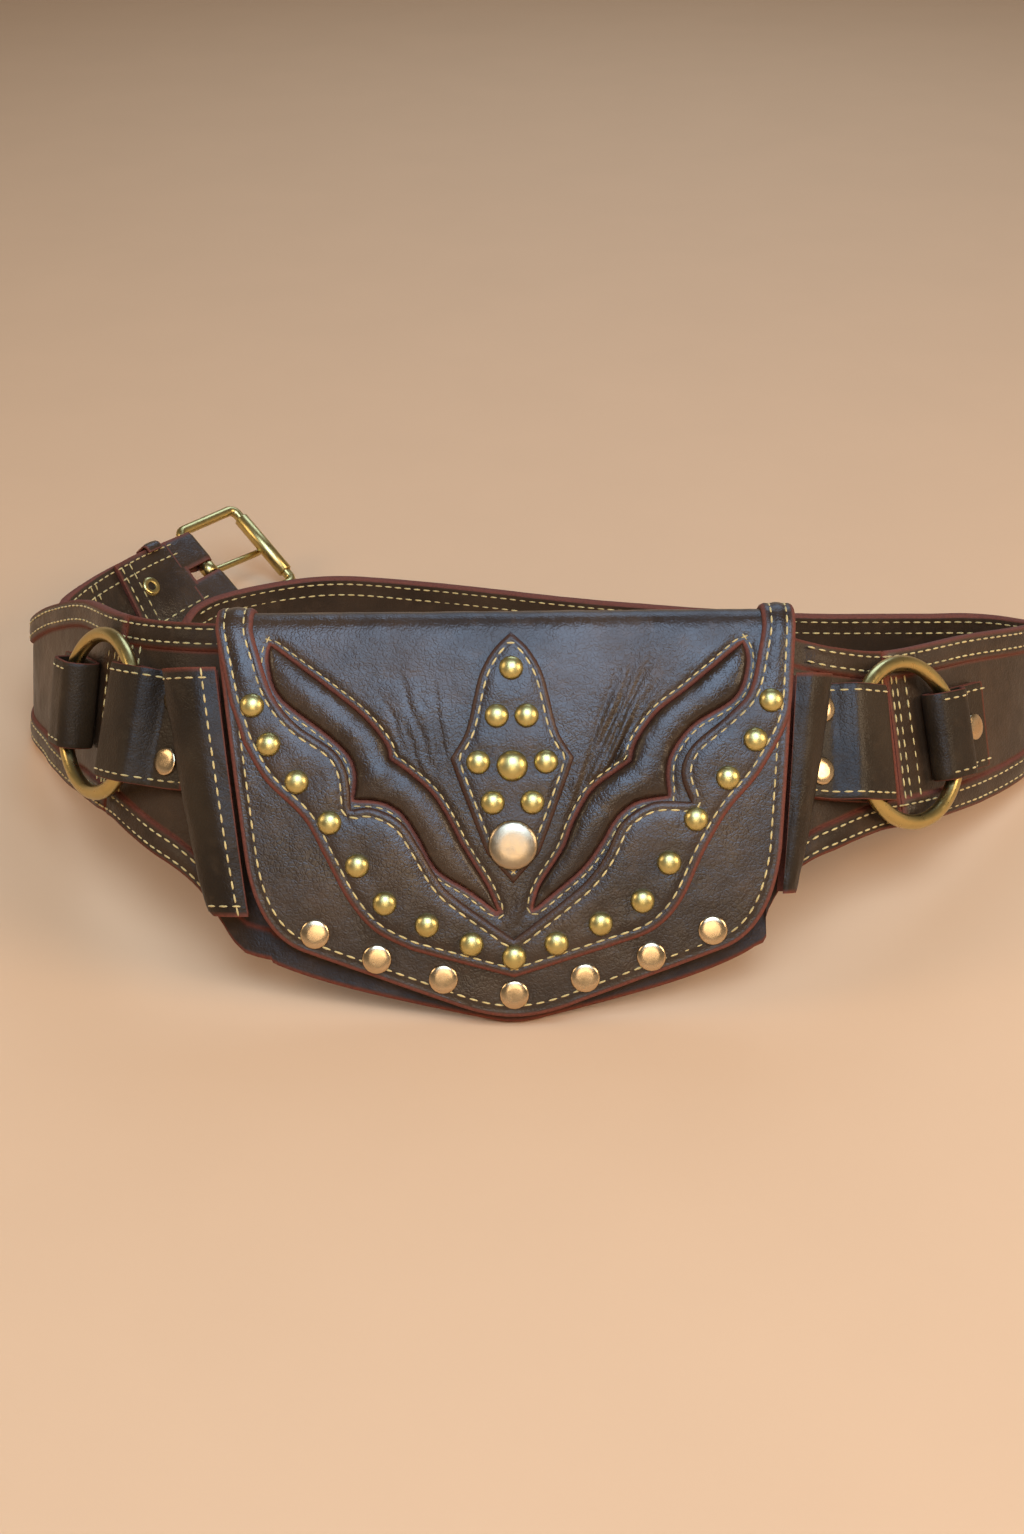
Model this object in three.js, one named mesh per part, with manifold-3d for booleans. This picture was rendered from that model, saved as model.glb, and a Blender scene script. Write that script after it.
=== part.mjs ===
// Leather hip belt with a studded pouch, lying open on a table. Millimetres, +Z up, pouch towards -Y.
import * as THREE from "three";
import { mergeVertices } from "three/addons/utils/BufferGeometryUtils.js";
import Module from "manifold-3d";

const { Vector2, Vector3, Path, Shape } = THREE;
const radians = THREE.MathUtils.degToRad;
const wasm = await Module();
wasm.setup();

// Gaps and facets
const CLEARANCE = 0.3; // between pieces that touch
const CURVE_STEPS = 3; // points for each stretch of an outline's curve
const ROUND_SIDES = 12; // sides of studs
const WIRE_SIDES = 8; // sides of rings and bars

// Flap, in the pouch's frame: x to the right, z up the flap, y into the pouch
const FLAP_LEAN = radians(32); // back from upright
const FLAP_RISE = 7.7; // the frame's height above the table
const FLAP_THICK = 2.4;
const FLAP_LOW = -1; // where the curved front starts
const FLAP_FRONT = 131; // where the front meets the fold
const FLAP_BELLY = 62; // height at which the front stands furthest out
const FLAP_CURVE = 420; // radius of the front's curve
const FOLD_RADIUS = 8;
const FLAP_TAIL = 15; // length behind the fold that is sewn to the hip panel
const OVERLAY_THICK = 1.6; // yoke and diamond patch
const YOKE_WRAP = radians(125); // how far the yoke's arms turn over the fold
const PAD_PROUD = 1.2; // how far the wing pads stand out of their windows
const CUT_TOP = 160; // outlines run up past the fold to here
const CUT_FRONT = -20; // and cut from here
const CUT_MIDDLE = 14; // to here, through the front only
const CUT_BACK = 60; // or to here, through the tail too

// Pouch
const POUCH_WALL = 2;
const POUCH_TOP = 118;
const POUCH_INSET = 2.5; // pouch wall's edge, in from the flap's edge
const HIP_OPEN = radians(8.4); // angle between the flap and the hip panel, which makes the pouch a wedge
const HIP_LOW = new Vector2(9.2, -2); // the hip panel's front face at its lower edge: y, z

// The two sides: the flap's edge from the middle at the fold and at the pouch's mouth, the gusset's heights,
// its bulge at each and how fast it swells between them, and the ring's drop below the band's centre
const LEFT = {
  side: "left", sign: -1, corner: 99.5, mouth: 97.8,
  low: 35, high: 119, bulgeLow: 13, bulgeHigh: 20.2, swell: 0.4, ringDrop: 0,
};
const RIGHT = {
  side: "right", sign: 1, corner: 96, mouth: 94.5,
  low: 41, high: 115, bulgeLow: 5.5, bulgeHigh: 14.5, swell: 0.8, ringDrop: 2,
};
const SIDES = [LEFT, RIGHT];

// Studs: seat radius and height
const DOME = { radius: 4.1, height: 3.2 };
const BIG_DOME = { radius: 5.3, height: 3.8 };
const FLAT_RIVET = { radius: 5, height: 1.6 };
const SNAP_CAP = { radius: 8.4, height: 2.6 };

// Belt band
const BAND_THICK = 3.2;
const EDGE_WIDTH = 10; // raised strip along each edge
const EDGE_RAISE = 1.2;
const EDGE_FAINT = 0.15; // its height behind the pouch, where it is pressed flat
const EDGE_START = 104; // distance from the middle at which it rises
const SEAM_GAP = 1.4; // between the hip panel and a strap, under a ring
const HIP_CENTRE = 99.5; // centre line above the hip panel's lower edge
const STRAP_STEP = 10; // distance between sections of a strap
const TIP_LENGTH = 16; // rounded end of the tongue
const HOLE_RADIUS = 2.4;
const HOLES = 5;
const HOLE_FIRST = 70; // from the tongue's tip
const HOLE_PITCH = 25;

// Rings and their tabs
const RING_RADIUS = 28.75; // to the middle of the wire
const RING_WIRE = 2.75;
const RING_SIDES = 28;
const TAB_THICK = 1.8;
const TAB_SEAT = 0.6; // between a tab and the band
const RING_LIFT = 1.5; // between a tab's lower layer and the wire
const INNER_TAB = { half: 20.5, fold: 15, end: 20, rivets: [-11, 11] };
const OUTER_TAB = { half: 16, fold: 13, end: 22, rivets: [0] };
const TAB_RIVET_REACH = 13.5; // from the wire

// Buckle, from the heel bar
const BAR_RADIUS = 2.1;
const FRAME_LENGTH = 36;
const FRAME_HALF = 23.1;
const FRAME_CORNER = 3.5;
const ROLLER = { inner: 2.4, outer: 3.2, half: 17 };
const PRONG = { collar: 3.8, width: 5, finger: 1.8 };
const HEEL_BORE = 2.5;
const HEEL_FOLD = 4.6; // outside of the leather round the heel bar
const HEEL_RAMP = 16; // length over which the fold tapers into the strap
const FOLD_BACK = 50; // length of the strap's end folded back on the inside
const FOLD_THICK = 2;
const SLOT = { half: 4, length: 12 };
const KEEPER = { from: 19, to: 28, thick: 1.6, hook: 4, clear: 0.7 };

// The hip panel's front face as seen from the table
const HIP_LEAN = FLAP_LEAN + HIP_OPEN;
const HIP_ORIGIN = new Vector2(
  HIP_LOW.x * Math.cos(FLAP_LEAN) + HIP_LOW.y * Math.sin(FLAP_LEAN),
  FLAP_RISE - HIP_LOW.x * Math.sin(FLAP_LEAN) + HIP_LOW.y * Math.cos(FLAP_LEAN),
);
const HIP_Y = HIP_ORIGIN.x + HIP_CENTRE * Math.sin(HIP_LEAN);
const HIP_Z = HIP_ORIGIN.y + HIP_CENTRE * Math.cos(HIP_LEAN);
const HIP_SLOPE = Math.tan(HIP_LEAN);

// The belt's centre line from the buckle's heel bar to the tongue's tip.
// Each row: x, y, z, lean in x and in y for each unit of height, half of the width.
const BELT_LINE = [
  [-141, 317, 17.9, -1.0, 1.07, 20],
  [-167, 284, 19.2, -0.5, 0.45, 20],
  [-191, 245, 20.6, -0.1, 0.08, 20],
  [-199, 207, 25, 0.08, 0.12, 24],
  [-183, 173, 40, 0.12, 0.35, 32],
  [-164, 141, 53, 0.06, 0.58, 36.5],
  [-144.5, 108, 64, 0, 0.74, 36.5],
  [-117, 80, 73, 0, HIP_SLOPE, 39],
  [-88, HIP_Y, HIP_Z, 0, HIP_SLOPE, 39.5],
  [-82, HIP_Y, HIP_Z, 0, HIP_SLOPE, 39.5],
  [-41, HIP_Y, HIP_Z, 0, HIP_SLOPE, 34.5],
  [0, HIP_Y, HIP_Z, 0, HIP_SLOPE, 34.5],
  [41, HIP_Y, HIP_Z, 0, HIP_SLOPE, 34.5],
  [82, HIP_Y, HIP_Z, 0, HIP_SLOPE, 34.5],
  [88, HIP_Y, HIP_Z, 0, HIP_SLOPE, 34.5],
  [112, 78, 69, 0, HIP_SLOPE, 33],
  [138, 97, 57, 0, 0.76, 32],
  [172, 126, 47, -0.06, 0.58, 32],
  [204, 161, 36, -0.12, 0.32, 29],
  [219, 196, 25, -0.04, 0.08, 24],
  [201, 222.5, 20.7, 0, 0, 20],
  [168, 226, 20, 0, 0, 20],
  [121, 227.5, 20, 0, 0, 20],
  [39, 241, 20, 0, 0, 20],
  [-36, 260, 20, 0, 0, 20],
  [-82, 266.5, 20, 0, 0, 20],
  [-127, 249, 20, 0, 0, 20],
  [-142, 226, 20, 0, 0, 20],
];
const LEFT_RING_ROW = 6;
const MIDDLE_ROW = 11;
const RIGHT_RING_ROW = 16;

// The hip panel's lower edge on one side: distance from the middle, height above its lowest point.
const HIP_EDGE = [
  [0, 0],
  [9, 1.2],
  [50, 11],
  [74, 19],
  [86, 26],
  [92, 34.7],
  [98, 44],
  [104, 50],
  [112, 55],
  [124, 59.5],
  [138, 62.5],
  [150, 63],
];

// Domed studs on one side of the yoke, from the arm down to the middle: x, z.
const YOKE_STUDS = [
  [86.8, 105.4],
  [81.3, 92.5],
  [71.9, 80],
  [61.1, 66.5],
  [52, 52.2],
  [43, 39.7],
  [29, 32.3],
  [14.2, 25.9],
  [0, 21.4],
];
const PATCH_STUDS = [
  [0, 117],
  [5, 101.2],
  [11.3, 85.9],
  [6.6, 72.6],
];
const PATCH_DOME = [0, 84.7];
const PATCH_CAP = [0, 58.3];
const BORDER_RIVETS = [
  [66.6, 29.1],
  [46, 20.5],
  [23.8, 13.5],
  [0, 8],
];

// Materials
function leather(color, roughness) {
  return new THREE.MeshStandardMaterial({ color, roughness, metalness: 0 });
}
function brass(color, roughness) {
  return new THREE.MeshStandardMaterial({ color, roughness, metalness: 1 });
}
const DARK_LEATHER = leather(0x2a2022, 0.5);
const BROWN_LEATHER = leather(0x33281f, 0.6);
const STUD_BRASS = brass(0xb99a4f, 0.3);
const PALE_BRASS = brass(0xcdb68a, 0.3);
const RING_BRASS = brass(0x96824a, 0.35);

// Solids

function points(rows) {
  return rows.map(([x, y]) => new Vector2(x, y));
}

// A closed geometry from corners and triangles, turned inside out where its volume is negative.
function closedGeometry(corners, triangles) {
  let volume = 0;
  for (const [a, b, c] of triangles) {
    volume += corners[a].dot(new Vector3().crossVectors(corners[b], corners[c]));
  }
  const facing = volume < 0 ? triangles.map(([a, b, c]) => [a, c, b]) : triangles;
  const geometry = new THREE.BufferGeometry().setFromPoints(corners);
  geometry.setIndex(facing.flat());
  return geometry;
}

// A solid for joining and cutting, with shared corners merged and empty triangles left out.
function solid(geometry) {
  const bare = new THREE.BufferGeometry();
  bare.setAttribute("position", geometry.getAttribute("position"));
  bare.setIndex(geometry.index);
  const merged = mergeVertices(bare);
  const index = merged.index.array;
  const kept = [];
  for (let i = 0; i < index.length; i += 3) {
    const [a, b, c] = [index[i], index[i + 1], index[i + 2]];
    if (a !== b && b !== c && c !== a) kept.push(a, b, c);
  }
  const vertProperties = new Float32Array(merged.getAttribute("position").array);
  return new wasm.Manifold(new wasm.Mesh({ numProp: 3, vertProperties, triVerts: new Uint32Array(kept) }));
}

function geometryOf(body) {
  const { vertProperties, triVerts } = body.getMesh();
  const geometry = new THREE.BufferGeometry();
  geometry.setAttribute("position", new THREE.BufferAttribute(vertProperties, 3));
  geometry.setIndex(new THREE.BufferAttribute(triVerts, 1));
  return geometry;
}

// Rings of corners joined one to the next: a closed loop of rings, or a run capped by its flat end outlines.
function loft(rings, capOutline) {
  const size = rings[0].length;
  const corners = rings.flat();
  const triangles = [];
  const spans = capOutline ? rings.length - 1 : rings.length;
  for (let i = 0; i < spans; i++) {
    const here = i * size;
    const next = ((i + 1) % rings.length) * size;
    for (let j = 0; j < size; j++) {
      const k = (j + 1) % size;
      triangles.push([here + j, here + k, next + k], [here + j, next + k, next + j]);
    }
  }
  if (capOutline) {
    const last = (rings.length - 1) * size;
    for (const [a, b, c] of THREE.ShapeUtils.triangulateShape(capOutline, [])) {
      const along = THREE.ShapeUtils.isClockWise(capOutline) ? [a, b, c] : [a, c, b];
      triangles.push(along, along.map((i) => last + i).reverse());
    }
  }
  return closedGeometry(corners, triangles);
}

// A round bar along points in a plane, whose rings stand square to the path.
function roundBar(path, closed, radius, place) {
  const sides = [...Array(WIRE_SIDES).keys()].map((i) => (2 * Math.PI * i) / WIRE_SIDES);
  const rings = path.map((p, i) => {
    const before = closed ? path.at(i - 1) : path[Math.max(i - 1, 0)];
    const after = closed ? path[(i + 1) % path.length] : path[Math.min(i + 1, path.length - 1)];
    const along = after.clone().sub(before).normalize();
    const across = new Vector2(-along.y, along.x);
    return sides.map((angle) => {
      const flat = p.clone().addScaledVector(across, radius * Math.cos(angle));
      return place(flat.x, flat.y, radius * Math.sin(angle));
    });
  });
  const outline = sides.map((angle) => new Vector2(Math.cos(angle), Math.sin(angle)));
  return loft(rings, closed ? null : outline);
}

// One shape from two half outlines, both drawn on the right from the middle line back to it.
function joined(left, right) {
  const turned = left.getPoints(CURVE_STEPS).filter((p) => p.x > 0);
  return new Shape([...right.getPoints(CURVE_STEPS), ...turned.map((p) => new Vector2(-p.x, p.y)).reverse()]);
}

// A block with an outline in x and z that runs from one y to another.
function block(shape, front, back) {
  const geometry = new THREE.ExtrudeGeometry(shape, {
    depth: back - front,
    bevelEnabled: false,
    curveSegments: CURVE_STEPS,
  });
  geometry.rotateX(Math.PI / 2);
  geometry.translate(0, back, 0);
  return solid(geometry);
}

// Flap outlines, x and z

function flapHalf({ corner }) {
  return new Path()
    .moveTo(0, 0)
    .quadraticCurveTo(8, 0, 18, 3.4)
    .lineTo(70, 22.5)
    .quadraticCurveTo(86.5, 28.5, 90, 56)
    .lineTo(corner, FLAP_FRONT)
    .lineTo(corner, CUT_TOP);
}

function pouchHalf({ mouth }) {
  return new Path()
    .moveTo(0, 1.2)
    .quadraticCurveTo(8, 1.4, 18, 5)
    .lineTo(68, 23.5)
    .quadraticCurveTo(85.5 - POUCH_INSET, 29, 90 - POUCH_INSET, 56)
    .lineTo(mouth - POUCH_INSET, POUCH_TOP)
    .lineTo(0, POUCH_TOP);
}

// The yoke's two halves: up the outer edge to the arm, over the fold and down the inner edge.
const yokeLeft = new Path()
  .moveTo(0, 13.8)
  .lineTo(34, 23.2)
  .splineThru(points([[46.5, 29.8], [55.5, 40.5], [63, 55], [70, 67.8], [82.5, 80.4], [90, 93.2]]))
  .splineThru(points([[92.2, 100.3], [94.4, 106.4]]))
  .lineTo(LEFT.corner, FLAP_FRONT)
  .lineTo(LEFT.corner, CUT_TOP)
  .lineTo(87, CUT_TOP)
  .lineTo(87, FLAP_FRONT)
  .splineThru(points([[85, 124], [80, 109.2], [72, 99.2], [59.5, 90.3], [55, 82], [54, 70.6]]))
  .splineThru(points([[46.5, 71], [37.5, 66.5], [31.8, 58.5], [26.3, 48.8], [20, 41.3], [0, 26.6]]));

const yokeRight = new Path()
  .moveTo(0, 13.8)
  .lineTo(33.6, 24.3)
  .splineThru(points([[46.7, 29.3], [56, 38.8], [64, 55.5], [72.3, 69.3], [82.1, 80.6], [90.5, 94.3]]))
  .splineThru(points([[92.9, 100.3], [94, 106.4]]))
  .lineTo(RIGHT.corner, FLAP_FRONT)
  .lineTo(RIGHT.corner, CUT_TOP)
  .lineTo(84.8, CUT_TOP)
  .lineTo(84.8, FLAP_FRONT)
  .splineThru(points([[83.5, 124], [79.8, 109.2], [72.4, 101], [60, 90.5], [56.5, 81.2], [59.6, 72]]))
  .splineThru(points([[46.7, 71.9], [36.5, 65.5], [31.1, 55], [25, 46.7], [16.5, 39.3], [0, 26.6]]));

const patchHalf = new Path()
  .moveTo(0, 45.4)
  .lineTo(8.9, 55.5)
  .splineThru(points([[12.9, 66], [17.5, 78.3], [20.7, 87.3]]))
  .splineThru(points([[16.3, 94.3], [14.2, 100.3], [12.7, 107.3], [10.3, 116.2], [5.8, 124], [0, 129.6]]));

// The wing windows: tip, cusp, lower tip and notch in turn.
const wingLeft = new Path()
  .moveTo(81, 126)
  .splineThru(points([[81.4, 119.5], [77.5, 108.7], [62.5, 96.6], [54.6, 89], [52.2, 82], [53, 74]]))
  .splineThru(points([[44, 73.2], [37, 69.2], [31.5, 61], [25.5, 50.3], [14.5, 43], [5.6, 36]]))
  .splineThru(points([[9.2, 44.5], [17.3, 58], [21, 65.5], [27, 75.3], [35, 82.7], [41.3, 87.2]]))
  .splineThru(points([[42.6, 92.4], [50, 101.6], [61, 110.7], [81, 126]]));

const wingRight = new Path()
  .moveTo(78, 125.3)
  .splineThru(points([[79.1, 118.5], [75, 107.5], [60.9, 98.4], [53.9, 90], [51.6, 83], [52, 74.3]]))
  .splineThru(points([[41.6, 72.5], [34.6, 67.2], [29.1, 58.3], [23, 50.3], [13.3, 42], [6.6, 36.5]]))
  .splineThru(points([[9.2, 44.5], [17, 56.7], [20.8, 66], [26.7, 75.9], [34.5, 82], [40, 85.7]]))
  .splineThru(points([[42, 92.5], [49.2, 102.2], [60, 110.5], [78, 125.3]]));

// The wing of one side, drawn in by a margin on all sides.
function wing(sign, margin) {
  const outline = (sign < 0 ? wingLeft : wingRight).getPoints(CURVE_STEPS).slice(0, -1);
  const turn = THREE.ShapeUtils.isClockWise(outline) ? 1 : -1;
  const inset = outline.map((p, i) => {
    const before = p.clone().sub(outline.at(i - 1)).normalize();
    const after = outline[(i + 1) % outline.length].clone().sub(p).normalize();
    const along = before.add(after).normalize();
    return new Vector2(p.x + turn * margin * along.y, p.y - turn * margin * along.x);
  });
  return new Shape(inset.map((p) => new Vector2(sign * p.x, p.y)));
}

// Flap section

function flapAngle(z) {
  return Math.asin((z - FLAP_BELLY) / FLAP_CURVE);
}

// Into the pouch from the flap's face where the face leans by an angle: y, z.
function inward(angle) {
  return new Vector2(Math.cos(angle), -Math.sin(angle));
}

function flapFace(z) {
  return new Vector2(FLAP_CURVE * (1 - Math.cos(flapAngle(z))), z);
}

// Stations on the flap's outer face from its lower edge over the fold to the end of its tail.
function flapStations() {
  const FRONT_STEPS = 8;
  const TURN_STEPS = 5;
  const stations = [];
  for (let i = 0; i <= FRONT_STEPS; i++) {
    const z = FLAP_LOW + ((FLAP_FRONT - FLAP_LOW) * i) / FRONT_STEPS;
    stations.push({ at: flapFace(z), angle: flapAngle(z) });
  }
  const start = flapAngle(FLAP_FRONT);
  const end = Math.PI + HIP_OPEN;
  const first = flapFace(FLAP_FRONT).addScaledVector(inward(start), FOLD_RADIUS);
  const seat = FOLD_RADIUS + 2 * CLEARANCE;
  const rise = (first.y - HIP_LOW.y - seat * Math.sin(HIP_OPEN)) / Math.cos(HIP_OPEN);
  const second = new Vector2(HIP_LOW.x + rise * Math.sin(HIP_OPEN) - seat * Math.cos(HIP_OPEN), first.y);
  const turns = [
    { centre: first, from: start, to: Math.PI / 2 },
    { centre: second, from: Math.PI / 2, to: end },
  ];
  for (const { centre, from, to } of turns) {
    for (let i = 1; i <= TURN_STEPS; i++) {
      const angle = from + ((to - from) * i) / TURN_STEPS;
      stations.push({ at: centre.clone().addScaledVector(inward(angle), -FOLD_RADIUS), angle });
    }
  }
  const along = new Vector2(Math.sin(end), Math.cos(end));
  stations.push({ at: stations.at(-1).at.clone().addScaledVector(along, FLAP_TAIL), angle: end });
  return stations;
}

// A bent sheet between two depths behind the flap's face, right across its width.
function bentSheet(stations, front, back) {
  const edge = (depth) => stations.map(({ at, angle }) => at.clone().addScaledVector(inward(angle), depth));
  const section = new Shape([...edge(front), ...edge(back).reverse()]);
  const width = 2 * LEFT.corner + 20;
  const geometry = new THREE.ExtrudeGeometry(section, { depth: width, bevelEnabled: false });
  geometry.translate(0, 0, -width / 2);
  const axes = [new Vector3(0, 1, 0), new Vector3(0, 0, 1), new Vector3(1, 0, 0)];
  geometry.applyMatrix4(new THREE.Matrix4().makeBasis(...axes));
  return solid(geometry);
}

// Belt band

const beltCurve = new THREE.CatmullRomCurve3(BELT_LINE.map(([x, y, z]) => new Vector3(x, y, z)));
const beltForm = new THREE.CatmullRomCurve3(BELT_LINE.map((row) => new Vector3(row[3], row[4], row[5])));
const ROW_STEPS = 60;
beltCurve.arcLengthDivisions = ROW_STEPS * (BELT_LINE.length - 1);
const beltLengths = beltCurve.getLengths();
const beltMiddle = beltLengths[MIDDLE_ROW * ROW_STEPS];
const LEFT_RING = beltLengths[LEFT_RING_ROW * ROW_STEPS] - beltMiddle;
const RIGHT_RING = beltLengths[RIGHT_RING_ROW * ROW_STEPS] - beltMiddle;
const BUCKLE_END = -beltMiddle;
const TONGUE_END = beltLengths.at(-1) - beltMiddle;

// The belt's frame at a distance along it from the middle of the hip panel.
function beltFrame(distance) {
  const u = THREE.MathUtils.clamp((distance + beltMiddle) / beltLengths.at(-1), 0, 1);
  const t = beltCurve.getUtoTmapping(u);
  const along = beltCurve.getTangent(t);
  const form = beltForm.getPoint(t);
  const up = new Vector3(form.x, form.y, 1);
  up.addScaledVector(along, -up.dot(along)).normalize();
  const out = new Vector3().crossVectors(along, up);
  return { at: beltCurve.getPoint(t), along, up, out, half: form.z };
}

function bandPoint(frame, height, proud) {
  return frame.at.clone().addScaledVector(frame.up, height).addScaledVector(frame.out, proud);
}

// The band's section: raised strips along both edges of its outer face.
function bandSection(low, high, raise, front, back) {
  return points([
    [low, front + raise],
    [low + EDGE_WIDTH, front + raise],
    [low + EDGE_WIDTH, front],
    [high - EDGE_WIDTH, front],
    [high - EDGE_WIDTH, front + raise],
    [high, front + raise],
    [high, back],
    [low, back],
  ]);
}

function bandLoft(stations) {
  const sections = stations.map(({ low, high, raise, front = 0, back = -BAND_THICK }) =>
    bandSection(low, high, raise, front, back),
  );
  const rings = stations.map(({ distance }, i) => {
    const frame = beltFrame(distance);
    return sections[i].map((p) => bandPoint(frame, p.x, p.y));
  });
  return loft(rings, sections[0]);
}

// A piece with a section in distance along the belt and height off its face, between two edges of the band.
function bandPrism(section, low, high) {
  const rings = [low, high].map((height) => section.map((p) => bandPoint(beltFrame(p.x), height, p.y)));
  return loft(rings, section);
}

function hipPanel() {
  const edge = new THREE.SplineCurve(points(HIP_EDGE)).getPoints(2 * HIP_EDGE.length);
  const side = (sign, end) => {
    const seam = HIP_CENTRE - beltFrame(sign * end).half;
    const rise = seam / HIP_EDGE.at(-1)[1];
    return edge
      .filter((p) => p.x > 0 && p.x < end - 2)
      .concat(new Vector2(end, HIP_EDGE.at(-1)[1]))
      .map((p) => ({ distance: sign * p.x, low: rise * p.y - HIP_CENTRE }));
  };
  const left = side(-1, -LEFT_RING - SEAM_GAP / 2).reverse();
  const right = side(1, RIGHT_RING - SEAM_GAP / 2);
  const stations = [...left, { distance: 0, low: -HIP_CENTRE }, ...right];
  const raised = stations.map(({ distance, low }) => {
    const raise = Math.abs(distance) > EDGE_START ? EDGE_RAISE : EDGE_FAINT;
    return { distance, low, high: beltFrame(distance).half, raise };
  });
  const UNDER = 400;
  const table = new THREE.BoxGeometry(UNDER, UNDER, UNDER).translate(0, 0, -UNDER / 2);
  return geometryOf(solid(bandLoft(raised)).subtract(solid(table)));
}

// Evenly spaced distances along the belt, both ends included.
function spaced(from, to) {
  const count = Math.ceil(Math.abs(to - from) / STRAP_STEP);
  return [...Array(count + 1).keys()].map((i) => from + ((to - from) * i) / count);
}

function strapStation(distance) {
  const { half } = beltFrame(distance);
  return { distance, low: -half, high: half, raise: EDGE_RAISE };
}

// The buckle's frame of reference: the heel bar runs up, the buckle points away from the strap.
const heel = beltFrame(BUCKLE_END);
const heelCentre = bandPoint(heel, 0, -BAND_THICK / 2);
const buckleAxes = new THREE.Matrix4()
  .makeBasis(heel.along.clone().negate(), heel.up, heel.out.clone().negate())
  .setPosition(heelCentre);

function strapLeft() {
  const STEP = 0.3;
  const TAPER = [0, 0.33, 0.67, 1];
  const thick = HEEL_FOLD - BAND_THICK / 2;
  const ends = TAPER.map((share) => ({
    ...strapStation(BUCKLE_END + share * HEEL_RAMP),
    front: thick * (1 - share),
    back: -BAND_THICK - thick + (thick - FOLD_THICK) * share,
  }));
  const doubled = { ...strapStation(BUCKLE_END + FOLD_BACK), back: -BAND_THICK - FOLD_THICK };
  const rest = spaced(BUCKLE_END + FOLD_BACK + STEP, LEFT_RING - SEAM_GAP / 2).map(strapStation);
  const band = solid(bandLoft([...ends, doubled, ...rest]));
  const round = (radius, height) =>
    solid(new THREE.CylinderGeometry(radius, radius, height, 16).applyMatrix4(buckleAxes));
  const slotCut = new THREE.BoxGeometry(SLOT.length + 2 * HEEL_FOLD, 2 * SLOT.half, 6 * HEEL_FOLD)
    .translate(HEEL_FOLD - SLOT.length / 2, 0, 0)
    .applyMatrix4(buckleAxes);
  const fold = round(HEEL_FOLD, 2 * heel.half);
  return geometryOf(band.add(fold).subtract(round(HEEL_BORE, 4 * heel.half)).subtract(solid(slotCut)));
}

function strapRight() {
  const TIP_STEPS = 4;
  const body = spaced(RIGHT_RING + SEAM_GAP / 2, TONGUE_END - TIP_LENGTH).map(strapStation);
  const tip = [...Array(TIP_STEPS).keys()].map((i) => {
    const share = (i + 1) / TIP_STEPS;
    const station = strapStation(TONGUE_END - TIP_LENGTH * (1 - share));
    const narrow = 1 - 0.42 * share * share;
    return { ...station, low: station.low * narrow, high: station.high * narrow };
  });
  let strap = solid(bandLoft([...body, ...tip]));
  for (let i = 0; i < HOLES; i++) {
    const frame = beltFrame(TONGUE_END - HOLE_FIRST - i * HOLE_PITCH);
    const place = new THREE.Matrix4().makeBasis(frame.along, frame.out, frame.up.clone().negate());
    place.setPosition(frame.at);
    const punch = new THREE.CylinderGeometry(HOLE_RADIUS, HOLE_RADIUS, 6 * BAND_THICK, WIRE_SIDES);
    strap = strap.subtract(solid(punch.applyMatrix4(place)));
  }
  return geometryOf(strap);
}

function keeper() {
  const { half } = heel;
  const top = EDGE_RAISE + KEEPER.clear;
  const under = -BAND_THICK - FOLD_THICK - KEEPER.clear;
  const wide = half + KEEPER.clear;
  const { thick, hook } = KEEPER;
  const section = points([
    [-wide + hook, under],
    [-wide, under],
    [-wide, top],
    [wide, top],
    [wide, under],
    [wide - hook, under],
    [wide - hook, under - thick],
    [wide + thick, under - thick],
    [wide + thick, top + thick],
    [-wide - thick, top + thick],
    [-wide - thick, under - thick],
    [-wide + hook, under - thick],
  ]);
  const rings = [KEEPER.from, KEEPER.to].map((reach) => {
    const frame = beltFrame(BUCKLE_END + reach);
    return section.map((p) => bandPoint(frame, p.x, p.y));
  });
  return loft(rings, section);
}

// Rings, tabs and their rivets

const ringProud = TAB_SEAT + TAB_THICK + RING_LIFT + RING_WIRE;

function ringFrame(distance, drop) {
  const frame = beltFrame(distance);
  return { ...frame, at: bandPoint(frame, -drop, ringProud) };
}

// Where a ring's wire crosses the middle of the band: distance along the belt and height off its face.
function wireOver(ring, sign) {
  const frame = ringFrame(ring, 0);
  const wire = frame.at.clone().addScaledVector(frame.along, sign * RING_RADIUS);
  let distance = ring + sign * RING_RADIUS;
  for (let i = 0; i < 8; i++) {
    const near = beltFrame(distance);
    distance += wire.clone().sub(near.at).dot(near.along);
  }
  const near = beltFrame(distance);
  return new Vector2(distance, wire.clone().sub(near.at).dot(near.out));
}

// A loop of leather from the band over the wire, round inside the ring and back along the band.
function tab(wire, sign, drop, { half, fold, end }) {
  const under = TAB_SEAT + TAB_THICK / 2;
  const over = under + CLEARANCE + TAB_THICK;
  const crown = wire.y + RING_WIRE + RING_LIFT / 2 + TAB_THICK / 2;
  const route = new THREE.SplineCurve(
    points([
      [end, under],
      [0, under],
      [-fold + 7, under],
      [-fold + 2, under + 0.9],
      [-fold, (under + crown) / 2],
      [-fold + 2, crown - 0.9],
      [-fold + 7, crown],
      [1.5, crown],
      [4.6, wire.y + 1.6],
      [7, over + 0.4],
      [10, over],
      [end, over],
    ]),
  );
  const path = route.getPoints(36);
  const side = (offset) =>
    path.map((p, i) => {
      const before = path[Math.max(i - 1, 0)];
      const along = path[Math.min(i + 1, path.length - 1)].clone().sub(before).normalize();
      return new Vector2(wire.x + sign * (p.x - along.y * offset), p.y + along.x * offset);
    });
  const section = [...side(TAB_THICK / 2), ...side(-TAB_THICK / 2).reverse()];
  return bandPrism(section, -half - drop, half - drop);
}

// Buckle, in the frame of its heel bar

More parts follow.
